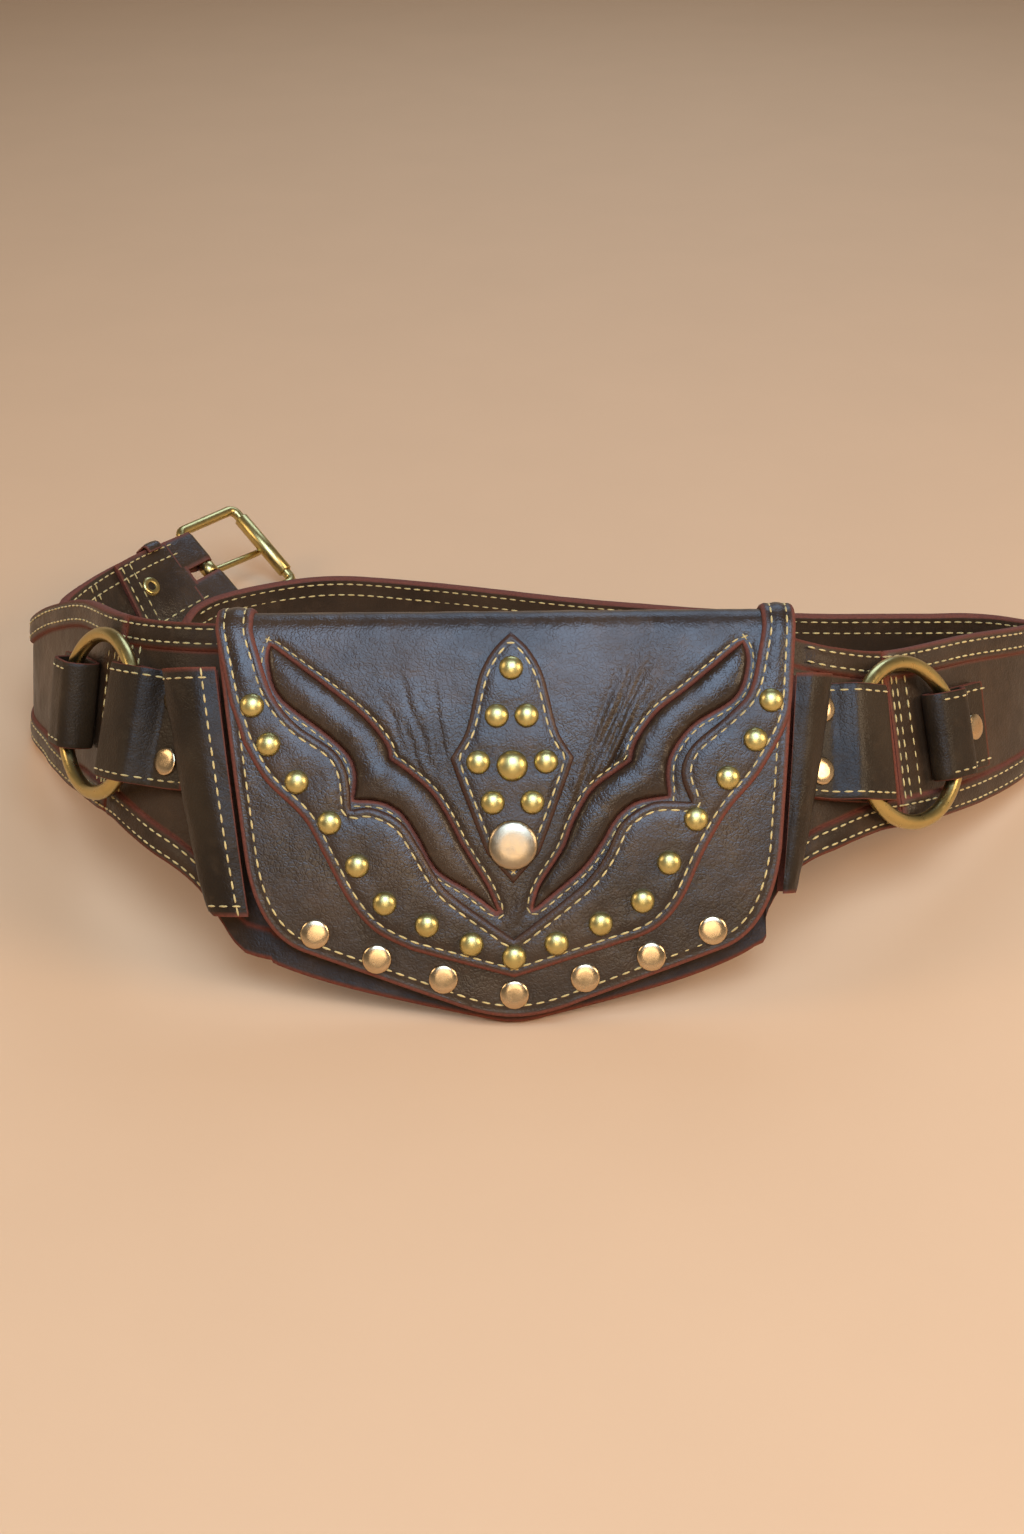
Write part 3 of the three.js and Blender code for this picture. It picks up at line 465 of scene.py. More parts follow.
def on_flap(flat, lift):
    """Places of flat points that stand a lift out of the flap's face."""
    lean = flap_lean(flat)
    y = np.interp(flat[:, 1], SECTION[:, 0], SECTION[:, 1]) - lift * np.cos(lean)
    z = np.interp(flat[:, 1], SECTION[:, 0], SECTION[:, 2]) + lift * np.sin(lean)
    return from_pouch(np.stack([flat[:, 0], y, z], 1))


def flap_out(flat):
    """Directions out of the flap's face at flat points."""
    lean = flap_lean(flat)
    return turn_pouch(np.stack([np.zeros(len(flat)), -np.cos(lean), np.sin(lean)], 1))


def runs(rows):
    return np.vstack([spline(run) for run in rows])


def flap_half(form):
    half = np.vstack(
        [
            quadratic((0, 0), (8, 0), (18, 3.4)),
            quadratic((70, 22.5), (86.5, 28.5), FLAP_SIDE),
            [(form["corner"], FLAP_FRONT)],
        ]
    )
    return np.vstack([up_flap(half), [(form["corner"], TAIL_LENGTH)]])


def pouch_half(form):
    half = np.vstack(
        [
            quadratic((0, 1.2), (8, 1.4), (18, 5)),
            quadratic((68, 23.5), (83, 29), (87.5, 56)),
            [(form["mouth"] - POUCH_INSET, POUCH_TOP), (0, POUCH_TOP)],
        ]
    )
    return up_flap(half)


def yoke_half(form):
    arm = form["yoke_inner"][0][0][0]
    ends = [(form["corner"], WRAP_LENGTH), (arm, WRAP_LENGTH)]
    return np.vstack([up_flap(runs(form["yoke_outer"])), ends, up_flap(runs(form["yoke_inner"]))])


def both(half):
    """A closed loop of the left and right halves that a function gives."""
    return joined(half(LEFT), half(RIGHT))


def patch_half(_):
    """The same on both sides."""
    return up_flap(runs(PATCH))


def wing_loop(form):
    return loop_of(up_flap(runs(form["wing"]))[:-1] * (form["sign"], 1))


# Belt band


def centripetal(points, t):
    """Points on a centripetal curve through some points, at shares of their number."""
    last = len(points) - 1
    i = np.clip(np.floor(t * last).astype(int), 0, last - 1)
    w = (t * last - i)[:, None]
    padded = np.vstack([2 * points[0] - points[1], points, 2 * points[-1] - points[-2]])
    p0, p1, p2, p3 = (padded[i + k] for k in range(4))
    d0, d1, d2 = (
        np.sqrt(np.linalg.norm(b - a, axis=1, keepdims=True)) for a, b in ((p0, p1), (p1, p2), (p2, p3))
    )
    d1 = np.where(d1 < 1e-4, 1.0, d1)
    d0 = np.where(d0 < 1e-4, d1, d0)
    d2 = np.where(d2 < 1e-4, d1, d2)
    start = ((p1 - p0) / d0 - (p2 - p0) / (d0 + d1) + (p2 - p1) / d1) * d1
    end = ((p2 - p1) / d1 - (p3 - p1) / (d1 + d2) + (p3 - p2) / d2) * d1
    cubic = (2 * p1 - 2 * p2 + start + end) * w**3
    return cubic + (3 * p2 - 3 * p1 - 2 * start - end) * w**2 + start * w + p1


BELT_ROWS = np.array(BELT_LINE, float)
ROW_STEPS = 60
BELT_SHARES = np.linspace(0, 1, ROW_STEPS * (len(BELT_ROWS) - 1) + 1)
BELT_LENGTHS = lengths(centripetal(BELT_ROWS[:, :3], BELT_SHARES))
BELT_MIDDLE = BELT_LENGTHS[MIDDLE_ROW * ROW_STEPS]
LEFT_RING = BELT_LENGTHS[LEFT_RING_ROW * ROW_STEPS] - BELT_MIDDLE
RIGHT_RING = BELT_LENGTHS[RIGHT_RING_ROW * ROW_STEPS] - BELT_MIDDLE
BUCKLE_END = -BELT_MIDDLE
TONGUE_END = BELT_LENGTHS[-1] - BELT_MIDDLE


def belt_frames(distance):
    """Places, directions along, up and out, and half widths at distances from the belt's middle."""
    distance = np.atleast_1d(np.asarray(distance, float))
    t = np.interp(distance + BELT_MIDDLE, BELT_LENGTHS, BELT_SHARES)
    near = 1e-4
    ahead = centripetal(BELT_ROWS[:, :3], np.clip(t + near, 0, 1))
    along = unit(ahead - centripetal(BELT_ROWS[:, :3], np.clip(t - near, 0, 1)))
    form = centripetal(BELT_ROWS[:, 3:], t)
    up = np.column_stack([form[:, :2], np.ones(len(t))])
    up = unit(up - (up * along).sum(1, keepdims=True) * along)
    past = np.minimum(distance - BUCKLE_END, 0)[:, None]
    at = centripetal(BELT_ROWS[:, :3], t) + past * along + ORIGIN
    return at, along, up, np.cross(along, up), form[:, 2]


def frame_at(distance):
    """The place and the directions along, up and out at one distance."""
    return [part[0] for part in belt_frames(distance)[:4]]


def band_grid(distance, height, proud):
    """Corners of a grid: rows at distances along the belt, columns at heights and off its face."""
    at, _, up, out, _ = belt_frames(distance)
    shape = (len(at), np.shape(height)[-1])
    height = np.broadcast_to(height, shape)[..., None]
    proud = np.broadcast_to(proud, shape)[..., None]
    return at[:, None] + up[:, None] * height + out[:, None] * proud


def half_at(distance):
    return belt_frames(distance)[4]


# Meshes


def outward(corners, faces):
    """A solid with its faces turned so that its volume is positive."""
    fans = [(face[0], face[i], face[i + 1]) for face in faces for i in range(1, len(face) - 1)]
    a, b, c = np.swapaxes(corners[np.array(fans)], 0, 1)
    if (a * np.cross(b, c)).sum() < 0:
        faces = [face[::-1] for face in faces]
    return corners, faces


def sheet(flat, triangles, top, bottom):
    """A closed sheet between two heights over flat points on the flap."""
    count = len(flat)
    corners = np.vstack([on_flap(flat, top), on_flap(flat, bottom)])
    sides = np.vstack([triangles[:, [0, 1]], triangles[:, [1, 2]], triangles[:, [2, 0]]])
    known = set(map(tuple, sides.tolist()))
    rim = [(a, b) for a, b in known if (b, a) not in known]
    walls = [[b, a, a + count, b + count] for a, b in sorted(rim)]
    faces = triangles.tolist() + (triangles[:, ::-1] + count).tolist() + walls
    return corners, faces


def slab(outer, inner):
    """A closed solid between two grids of corners of the same size."""
    rows, columns = outer.shape[:2]
    count = rows * columns
    index = np.arange(count).reshape(rows, columns)
    grid = (index[:-1, :-1], index[1:, :-1], index[1:, 1:], index[:-1, 1:])
    front = np.stack([part.ravel() for part in grid], 1)
    border = np.concatenate([index[0], index[1:, -1], index[-1, -2::-1], index[-2:0:-1, 0]])
    after = np.roll(border, -1)
    walls = np.stack([border, after, after + count, border + count], 1)
    faces = front.tolist() + (front[:, ::-1] + count).tolist() + walls.tolist()
    corners = np.vstack([outer.reshape(-1, 3), inner.reshape(-1, 3)])
    return outward(corners, faces)


def bar_faces(rows, sides, closed):
    """Faces of a bar of rows of corners, whose last row meets the first where it is closed."""
    index = np.arange(rows * sides).reshape(rows, sides)
    after = np.roll(index, -1, 0) if closed else index[1:]
    here = index if closed else index[:-1]
    quads = (here, np.roll(here, -1, 1), np.roll(after, -1, 1), after)
    faces = np.stack([part.ravel() for part in quads], 1).tolist()
    if not closed:
        faces += [index[0, ::-1].tolist(), index[-1].tolist()]
    return faces


def tube(path, across, radius, closed, sides=16):
    """A round bar along a path, which turns about directions square to it."""
    along = np.roll(path, -1, 0) - np.roll(path, 1, 0)
    if not closed:
        along[0] = path[1] - path[0]
        along[-1] = path[-1] - path[-2]
    side = unit(np.cross(along, across))
    angle = np.linspace(0, 2 * math.pi, sides, endpoint=False)[:, None]
    radius = np.broadcast_to(radius, len(path))
    rings = np.array(
        [p + r * (np.cos(angle) * a + np.sin(angle) * b) for p, a, b, r in zip(path, side, across, radius)]
    )
    return outward(rings.reshape(-1, 3), bar_faces(len(path), sides, closed))


def revolve(profile, sides=20):
    """A solid of rows of radius and height turned about Z, whose ends are on the axis."""
    angle = np.linspace(0, 2 * math.pi, sides, endpoint=False)
    circle = np.stack([np.cos(angle), np.sin(angle), np.ones(sides)], 1)
    rings = [circle * (r, r, h) for r, h in profile[1:-1]]
    corners = np.vstack([[(0, 0, profile[0][1])], *rings, [(0, 0, profile[-1][1])]])
    last = len(corners) - 1
    faces = []
    for j in range(sides):
        k = (j + 1) % sides
        faces.append([0, 1 + k, 1 + j])
        for i in range(len(rings) - 1):
            here = 1 + i * sides
            faces.append([here + j, here + k, here + sides + k, here + sides + j])
        faces.append([last, last - sides + j, last - sides + k])
    return corners, faces


def together(*solids):
    """Several solids as one list of corners and one of faces."""
    corners = []
    faces = []
    count = 0
    for part_corners, part_faces in solids:
        corners.append(part_corners)
        faces += [[i + count for i in face] for face in part_faces]
        count += len(part_corners)
    return np.vstack(corners), faces


def border_marks(rows, columns):
    """Rawness of a grid of corners, which is 1 on its border."""
    raw = np.ones((rows, columns))
    raw[1:-1, 1:-1] = 0
    return raw.ravel()


def with_inner(raw, inner):
    """Rawness of a solid's outer corners, with one value for its inner ones."""
    return np.concatenate([raw, np.full(len(raw), inner)])


def add_object(name, data):
    item = bpy.data.objects.new(name, data)
    bpy.context.scene.collection.objects.link(item)
    return item


def make_piece(name, solid, material, raw=None, crease=None, sharp=55):
    """A new object from a solid in millimetres, kept above the table, with raw and creased parts marked."""
    corners, faces = solid
    corners = corners * MM
    corners[:, 2] = np.maximum(corners[:, 2], 0)
    mesh = bpy.data.meshes.new(name)
    mesh.from_pydata(corners.tolist(), [], faces)
    mesh.materials.append(material)
    for key, values in (("raw", raw), ("crease", crease)):
        if values is not None:
            mesh.attributes.new(key, "FLOAT", "POINT").data.foreach_set("value", values.astype(np.float32))
    mesh.shade_smooth()
    mesh.set_sharp_from_angle(angle=math.radians(sharp))
    return add_object(name, mesh)


def stands_for(piece, slot, *nodes, body="belt"):
    """Ties a finished piece to its body and hides the nodes that it replaces; its material slot is not
    used.
    """
    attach(piece, body)
    if nodes:
        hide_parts(*nodes)


def evaluated(piece):
    """Makes what a piece's modifiers give its own mesh, and removes them."""
    graph = bpy.context.evaluated_depsgraph_get()
    mesh = bpy.data.meshes.new_from_object(piece.evaluated_get(graph))
    piece.modifiers.clear()
    piece.data = mesh
    mesh.name = piece.name


# Materials


def add_node(tree, kind, inputs=None, **settings):
    """A new node with its settings and input values; an input may be another node's output."""
    node = tree.nodes.new(kind)
    for key, value in settings.items():
        setattr(node, key, value)
    for key, value in (inputs or {}).items():
        if isinstance(value, bpy.types.NodeSocket):
            tree.links.new(value, node.inputs[key])
        else:
            node.inputs[key].default_value = value
    return node


def new_shader(name):
    material = bpy.data.materials.new(name)
    material.use_nodes = True
    tree = material.node_tree
    place = add_node(tree, "ShaderNodeTexCoord").outputs["Object"]
    return material, tree, tree.nodes["Principled BSDF"], place


def texture(tree, place, scale, detail=2.0, distortion=0.0):
    inputs = {"Vector": place, "Scale": scale, "Detail": detail, "Distortion": distortion}
    return add_node(tree, "ShaderNodeTexNoise", inputs).outputs["Fac"]


def ramp(tree, value, low, high, to_low=0.0, to_high=1.0):
    inputs = {"Value": value, 1: low, 2: high, 3: to_low, 4: to_high}
    return add_node(tree, "ShaderNodeMapRange", inputs, interpolation_type="SMOOTHSTEP").outputs[0]


def blend(tree, share, a, b):
    """A mix of two colours."""
    return add_node(tree, "ShaderNodeMix", {0: share, 6: a, 7: b}, data_type="RGBA").outputs[2]


def math_node(tree, operation, a, b):
    return add_node(tree, "ShaderNodeMath", {0: a, 1: b}, operation=operation).outputs[0]


def bump(tree, height, strength, depth, below=None):
    inputs = {"Height": height, "Strength": strength, "Distance": depth * MM}
    if below is not None:
        inputs["Normal"] = below
    return add_node(tree, "ShaderNodeBump", inputs).outputs["Normal"]


def opaque(colour, share=1.0):
    """A colour for a node, with a share of its light."""
    return (*(share * c for c in colour), 1.0)


def leather_material(name, dark, light, raw, gloss, shine):
    """Oiled leather with pebble grain and creases, and raw suede where its mesh is marked."""
    material, tree, surface, place = new_shader(name)
    cut = add_node(tree, "ShaderNodeAttribute", attribute_name="raw").outputs["Fac"]
    cloud = ramp(tree, texture(tree, place, 28.0, 3.0), 0.35, 0.7)
    worn = ramp(tree, texture(tree, place, 150.0, 4.0, 0.4), 0.52, 0.75)
    skin = blend(tree, cloud, opaque(dark), opaque(light))
    skin = blend(tree, math_node(tree, "MULTIPLY", worn, 0.25), skin, opaque(light, 2.0))
    fibre = texture(tree, place, 900.0, 3.0)
    suede = blend(tree, fibre, opaque(raw, 0.5), opaque(raw, 1.5))
    tree.links.new(blend(tree, cut, skin, suede), surface.inputs["Base Color"])
    patch = ramp(tree, texture(tree, place, 60.0, 4.0), 0.3, 0.7, gloss - 0.05, gloss + 0.08)
    finish = add_node(tree, "ShaderNodeMix", {0: cut, 2: patch, 3: 0.8}, data_type="FLOAT")
    tree.links.new(finish.outputs[0], surface.inputs["Roughness"])
    tree.links.new(leather_normal(tree, place), surface.inputs["Normal"])
    surface.inputs["Specular IOR Level"].default_value = shine
    return material


# Leather grain: how many features of a kind there are in a metre
WARP_SCALE = 420.0
PEBBLE_SCALE = 720.0
WAVE_SCALE = 190.0
LINE_SCALE = 330.0
WARP_REACH = 1.2  # how far the pebbles are bent out of shape


def leather_normal(tree, place):
    """Pebble grain, soft waves, and fine lines where the mesh is marked as creased."""
    warp = add_node(tree, "ShaderNodeTexNoise", {"Vector": place, "Scale": WARP_SCALE}).outputs["Color"]
    shift = add_node(tree, "ShaderNodeVectorMath", {0: warp, "Scale": WARP_REACH * MM}, operation="SCALE")
    bent = add_node(tree, "ShaderNodeVectorMath", {0: place, 1: shift.outputs[0]}, operation="ADD")
    inputs = {"Vector": bent.outputs[0], "Scale": PEBBLE_SCALE}
    pebble = add_node(tree, "ShaderNodeTexVoronoi", inputs, feature="DISTANCE_TO_EDGE").outputs["Distance"]
    normal = bump(tree, ramp(tree, pebble, 0.0, 0.25), 0.2, 0.25)
    normal = bump(tree, texture(tree, place, WAVE_SCALE, 2.5, 0.3), 0.38, 0.8, normal)
    fold = math_node(tree, "SUBTRACT", texture(tree, place, LINE_SCALE, 3.0, 0.8), 0.5)
    lines = ramp(tree, math_node(tree, "ABSOLUTE", fold, 0.0), 0.0, 0.08)
    marked = add_node(tree, "ShaderNodeAttribute", attribute_name="crease").outputs["Fac"]
    return bump(tree, lines, math_node(tree, "MULTIPLY", marked, 0.3), 0.35, normal)


def brass_material(name, bright, tarnish, gloss, wear):
    """Antique brass with tarnish, dark specks and fine scratches, more of each the more it is worn."""
    material, tree, surface, place = new_shader(name)
    patch = ramp(tree, texture(tree, place, 160.0, 4.0, 0.4), 0.45, 0.85)
    speck = ramp(tree, texture(tree, place, 1400.0, 2.0), 0.64, 0.74)
    colour = blend(tree, math_node(tree, "MULTIPLY", patch, wear), opaque(bright), opaque(tarnish))
    specked = math_node(tree, "MULTIPLY", speck, 0.3 * wear)
    colour = blend(tree, specked, colour, opaque(tarnish, 0.4))
    tree.links.new(colour, surface.inputs["Base Color"])
    rub = ramp(tree, texture(tree, place, 400.0, 4.0), 0.3, 0.8, gloss, gloss + 0.1)
    tree.links.new(rub, surface.inputs["Roughness"])
    normal = bump(tree, texture(tree, place, 600.0, 3.0), 0.06 * wear, 0.2)
    tree.links.new(normal, surface.inputs["Normal"])
    surface.inputs["Metallic"].default_value = 1.0
    return material


def thread_material(name, colour):
    """Waxed thread with a fine twist."""
    material, tree, surface, place = new_shader(name)
    soil = ramp(tree, texture(tree, place, 120.0, 4.0), 0.35, 0.75)
    dull = opaque(colour, 0.62)
    tree.links.new(blend(tree, soil, opaque(colour), dull), surface.inputs["Base Color"])
    twist = add_node(tree, "ShaderNodeTexWave", {"Vector": place, "Scale": 900.0, "Distortion": 1.5})
    tree.links.new(bump(tree, twist.outputs["Fac"], 0.35, 0.15), surface.inputs["Normal"])
    surface.inputs["Roughness"].default_value = 0.6
    surface.inputs["Sheen Weight"].default_value = 0.2
    return material


def floor_material(name, colour):
    """A plain pale table with a slight mottle."""
    material, tree, surface, place = new_shader(name)
    mottle = texture(tree, place, 14.0, 3.0)
    tone = blend(tree, mottle, opaque(colour, 0.95), opaque(colour))
    tree.links.new(tone, surface.inputs["Base Color"])
    tree.links.new(bump(tree, texture(tree, place, 500.0, 3.0), 0.08, 0.3), surface.inputs["Normal"])
    surface.inputs["Roughness"].default_value = 0.75
    return material


def material_named(name, make, *values):
    return bpy.data.materials.get(name) or make(name, *values)


def leather(kind):
    colours = bpy.context.scene.belt_colours
    finishes = {
        "dark": (colours.dark, colours.dark_light, colours.raw, 0.33, 0.45),
        "band": (colours.dark, colours.dark_light, colours.raw, 0.44, 0.2),
        # Brown: the gussets' and tabs' own tone, and painted shade on the pouch's front wall
        "brown": (colours.brown, colours.brown_light, colours.raw, 0.42, 0.26),
    }
    return material_named(f"{kind}_leather_grain", leather_material, *finishes[kind])


def thread():
    return material_named("waxed_thread", thread_material, bpy.context.scene.belt_colours.thread)


def brass(kind):
    colours = bpy.context.scene.belt_colours
    tones = {
        "stud": (colours.stud, colours.stud_tarnish, 0.32, 0.7),
        "pale": (colours.pale, colours.pale_tarnish, 0.2, 0.4),
        "cap": (colours.cap, colours.pale_tarnish, 0.3, 0.4),
        "ring": (colours.ring, colours.ring_tarnish, 0.27, 0.3),
    }
    return material_named(f"{kind}_brass_antique", brass_material, *tones[kind])


# Node trees for what repeats


def new_tree(name, inputs):
    """A Geometry Nodes tree with named inputs, and its input and output nodes."""
    tree = bpy.data.node_groups.new(name, "GeometryNodeTree")
    tree.is_modifier = True
    for label, kind in inputs:
        tree.interface.new_socket(label, in_out="INPUT", socket_type=kind)
    tree.interface.new_socket("Geometry", in_out="OUTPUT", socket_type="NodeSocketGeometry")
    source = tree.nodes.new("NodeGroupInput").outputs
    return tree, source, tree.nodes.new("NodeGroupOutput")


def finish_tree(tree, source, result, places, shape, rotation):
    placed = add_node(
        tree, "GeometryNodeInstanceOnPoints", {"Points": places, "Instance": shape, "Rotation": rotation}
    )
    real = add_node(tree, "GeometryNodeRealizeInstances", {"Geometry": placed.outputs[0]})
    smooth = add_node(tree, "GeometryNodeSetShadeSmooth", {"Geometry": real.outputs[0]})
    inputs = {"Geometry": smooth.outputs[0], "Material": source["Material"]}
    coat = add_node(tree, "GeometryNodeSetMaterial", inputs)
    tree.links.new(coat.outputs[0], result.inputs[0])
    return tree


def up_attribute(tree):
    return add_node(
        tree, "GeometryNodeInputNamedAttribute", {"Name": "up"}, data_type="FLOAT_VECTOR"
    ).outputs["Attribute"]


def stitch_tree():
    """Stitches at even steps along lines, flat on the face that the lines' points say."""
    tree, source, result = new_tree(
        "Stitch rows",
        (
            ("Geometry", "NodeSocketGeometry"),
            ("Pitch", "NodeSocketFloat"),
            ("Length", "NodeSocketFloat"),
            ("Width", "NodeSocketFloat"),
            ("Material", "NodeSocketMaterial"),
        ),
    )
    curve = add_node(tree, "GeometryNodeMeshToCurve", {"Mesh": source["Geometry"]})
    inputs = {"Curve": curve.outputs[0], "Length": source["Pitch"]}
    even = add_node(tree, "GeometryNodeResampleCurve", inputs, mode="LENGTH")
    tangent = add_node(tree, "GeometryNodeInputTangent").outputs[0]
    turn = add_node(
        tree,
        "FunctionNodeAxesToRotation",
        {"Primary Axis": tangent, "Secondary Axis": up_attribute(tree)},
        primary_axis="X",
        secondary_axis="Z",
    )
    ball = add_node(tree, "GeometryNodeMeshUVSphere", {"Segments": 8, "Rings": 6, "Radius": 0.5})
    size = add_node(
        tree, "ShaderNodeCombineXYZ", {"X": source["Length"], "Y": source["Width"], "Z": source["Width"]}
    )
    shape = add_node(tree, "GeometryNodeTransform", {"Geometry": ball.outputs[0], "Scale": size.outputs[0]})
    return finish_tree(tree, source, result, even.outputs[0], shape.outputs[0], turn.outputs[0])


def stud_tree():
    """A stud on each point, standing square to the face that the point says."""
    tree, source, result = new_tree(
        "Studs on points",
        (
            ("Geometry", "NodeSocketGeometry"),
            ("Stud", "NodeSocketObject"),
            ("Material", "NodeSocketMaterial"),
        ),
    )
    turn = add_node(
        tree,
        "FunctionNodeAxesToRotation",
        {"Primary Axis": up_attribute(tree), "Secondary Axis": (1, 0, 0)},
        primary_axis="Z",
        secondary_axis="X",
    )
    shape = add_node(tree, "GeometryNodeObjectInfo", {"Object": source["Stud"]}).outputs["Geometry"]
    return finish_tree(tree, source, result, source["Geometry"], shape, turn.outputs[0])


def spread(name, points, ups, edges, make_tree, values):
    """A new object of what a node tree makes on points with directions."""
    mesh = bpy.data.meshes.new(name)
    mesh.from_pydata((points * MM).tolist(), edges, [])
    marks = mesh.attributes.new("up", "FLOAT_VECTOR", "POINT").data
    marks.foreach_set("vector", ups.astype(np.float32).ravel())
    piece = add_object(name, mesh)
    modifier = piece.modifiers.new("Repeat", "NODES")
    tree = make_tree()
    modifier.node_group = tree
    sockets = {item.name: item.identifier for item in tree.interface.items_tree if item.in_out == "INPUT"}
    for label, value in values.items():
        modifier[sockets[label]] = value
    evaluated(piece)
    bpy.data.node_groups.remove(tree)
    return piece


def stitched(name, rows, scale=1.0):
    """A piece of stitches along rows; each row is its points and the directions out of the leather."""
    sizes = bpy.context.scene.belt_sizes
    edges = []
    count = 0
    for points, _ in rows:
        edges += [(count + i, count + i + 1) for i in range(len(points) - 1)]
        count += len(points)
    values = {
        "Pitch": sizes.stitch_pitch * scale,
        "Length": sizes.stitch_length * scale,
        "Width": sizes.stitch_width * scale,
        "Material": thread(),
    }
    points = np.vstack([row[0] for row in rows])
    ups = np.vstack([row[1] for row in rows])
    piece = spread(name, points, ups, edges, stitch_tree, values)
    stands_for(piece, "brown_leather")
    return piece


def leather_piece(name, solid, kind, raw):
    """Makes a leather piece that stands for the node of its name."""
    piece = make_piece(f"{name}_leather", solid, leather(kind), raw)
    stands_for(piece, f"{kind}_leather", name)


def split_rows(line, keep):
    """The stretches of a line whose points are kept."""
    marks = np.flatnonzero(np.diff(np.concatenate([[0], keep.astype(int), [0]])))
    return [line[a:b] for a, b in zip(marks[::2], marks[1::2]) if b - a > 3]


def flap_rows(lines, lift):
    return [(on_flap(line, lift), flap_out(line)) for line in lines]


def band_row(distance, height, proud, side=1):
    """A row of stitches on the band: on its outer face, or on its inner face where the side is -1."""
    distance, height = np.broadcast_arrays(np.asarray(distance, float), height)
    at, _, up, out, _ = belt_frames(distance)
    return at + up * height[:, None] + out * proud, side * out


# Pieces


STITCH_SINK = 0.1  # how far a stitch's middle lies under the leather's face
EDGE_ROWS = (0.35, 0.8, 1.5)  # rows of points that round an edge
RAW_WIDTH = 1.6
FLAP_STITCH = 4.0
YOKE_STITCH = 3.0
PATCH_STITCH = 2.6
WINDOW_STITCH = 2.3
WINDOW_SINK = 0.45  # of the stitches round the windows, whose edges are drawn in
WINDOW_STITCH_SIZE = 0.8
GROOVE = 0.3
GROOVE_WIDTH = 0.7

# How studs draw the leather down: depth, radius
RIVET_DIMPLE = (0.5, 5.5)
DOME_DIMPLE = (0.6, 5.2)

# Waves of the leather: depth, size, seed
FLAP_WAVES = ((0.35, 38.0, 1), (0.06, 5.0, 2))
OVERLAY_WAVES = ((0.25, 22.0, 8), (0.06, 5.0, 9))
BAND_WAVES = ((0.4, 30.0, 21), (0.12, 8.0, 22))

# Shallow creases all over the flap: direction across them, stretch along them, depth
WRINKLE_ACROSS = (0.85, 0.53)
WRINKLE_STRETCH = 0.35
WRINKLE_DEPTH = 0.22


def waves(points, kinds):
    return sum(depth * rough(points, size, seed) for depth, size, seed in kinds)


def rounded(distance, drop):
    """How far an edge falls at a distance from the cut."""
    return drop * (1 - np.sqrt(np.clip(distance / RAW_WIDTH, 0, 1)))


def cut_edge(distance):
    """Rawness at a distance from the cut."""
    return 1 - smoothstep(distance, RAW_WIDTH * 0.75, RAW_WIDTH)


def groove(distance, row):
    return GROOVE * np.exp(-(((distance - row) / GROOVE_WIDTH) ** 2))


def stud_seats(names):
    """Centres of stud nodes on the flap as x and length up the flap."""
    seats = []
    for name in names:
        low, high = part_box(name)
        x, y, z = np.array((low + high) / 2) / MM - ORIGIN - (0, 0, FLAP_RISE)
        up = y * math.sin(FLAP_LEAN) + z * math.cos(FLAP_LEAN)
        seats.append((x, up))
    return up_flap(seats)


def nodes_like(*starts):
    return sorted(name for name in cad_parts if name.startswith(starts))


def dimples(flat, seats, depth, radius):
    """How far leather is drawn down round studs."""
    drop = np.zeros(len(flat))
    for seat in seats:
        drop += depth * np.exp(-(((flat - seat) ** 2).sum(1) / radius**2))
    return drop


def flap_wrinkles(flat):
    """Shallow diagonal creases and a slow wave over the flap."""
    cos, sin = WRINKLE_ACROSS
    x, up = flat.T
    slanted = np.stack([cos * x + sin * up, WRINKLE_STRETCH * (cos * up - sin * x)], 1)
    crease = 1 - np.abs(rough(slanted, 9.0, 3, 3))
    patch = smoothstep(rough(flat, 45.0, 5), -0.1, 0.4)
    return waves(flat, FLAP_WAVES) + WRINKLE_DEPTH * patch * (crease - 0.75)


def make_sheet(
    name, loops, stitch, face, thick, relief, step, drop=0.9, rawness=None, crease=None, extra=None
):
    """A leather sheet on the flap with rounded raw edges and a groove for its stitches."""
    rows = (*EDGE_ROWS, stitch - GROOVE_WIDTH, stitch, stitch + GROOVE_WIDTH)
    flat, triangles = triangulate(loops, rows, step, extra)
    distance = edge_distance(flat, loops)
    top = face - rounded(distance, drop) - groove(distance, stitch) + relief(flat)
    solid = sheet(flat, triangles, top, np.full(len(flat), face - thick))
    raw = cut_edge(distance)
    if rawness is not None:
        raw = raw * rawness(flat)
    marks = None if crease is None else np.tile(crease(flat), 2)
    return make_piece(name, solid, leather("dark"), with_inner(raw, 0.8), marks)


# Creased patches of the flap: x, length up the flap, radius, strength
CREASES = (
    (46, 118, 12, 0.8), (38, 101, 13, 1.0), (29, 84, 11, 1.0), (23, 70, 8, 0.8),
    (-42, 108, 26, 0.3), (-30, 88, 12, 0.5), (-74, 112, 10, 0.3), (66, 108, 10, 0.3), (0, 34, 10, 0.4),
)


def flap_creases(flat):
    marks = np.full(len(flat), 0.08)
    for x, up, radius, strength in CREASES:
        marks += strength * np.exp(-((flat - (x, up)) ** 2).sum(1) / radius**2)
    return np.minimum(marks, 1)


# Fans of long folds on the flap: low end, high end, width at each, number of folds, depth
FANS = (
    ((20, 64), (50, 123), 5, 19, 8, 0.68),
    ((-27, 80), (-40, 118), 8, 26, 6, 0.28),
    ((-1, 27), (2, 46), 2, 12, 4, 0.3),
)
FOLD_WIDTH = 0.8  # of a fold's valley
PUFF_PLACE = 2.2  # of the swelling beside a fold
PUFF_WIDTH = 1.2
PUFF_SHARE = 0.4
FOLD_FADE = 0.8  # how fast a fold's ends run out
FOLD_STAGGER = (5, 9)  # how far the folds' low and high ends vary
FOLD_BENDS = (1.3, -1.1)  # how far a fold's middle leaves its line
FOLD_VARIES = 0.3  # share of the depth
# What makes the folds of a fan differ, as rates and starts of waves: low end, high end, two bends, depth
FOLD_WAVES = ((2.3, 0), (3.7, 0), (5.1, 0), (4.1, 1), (6.7, 0))


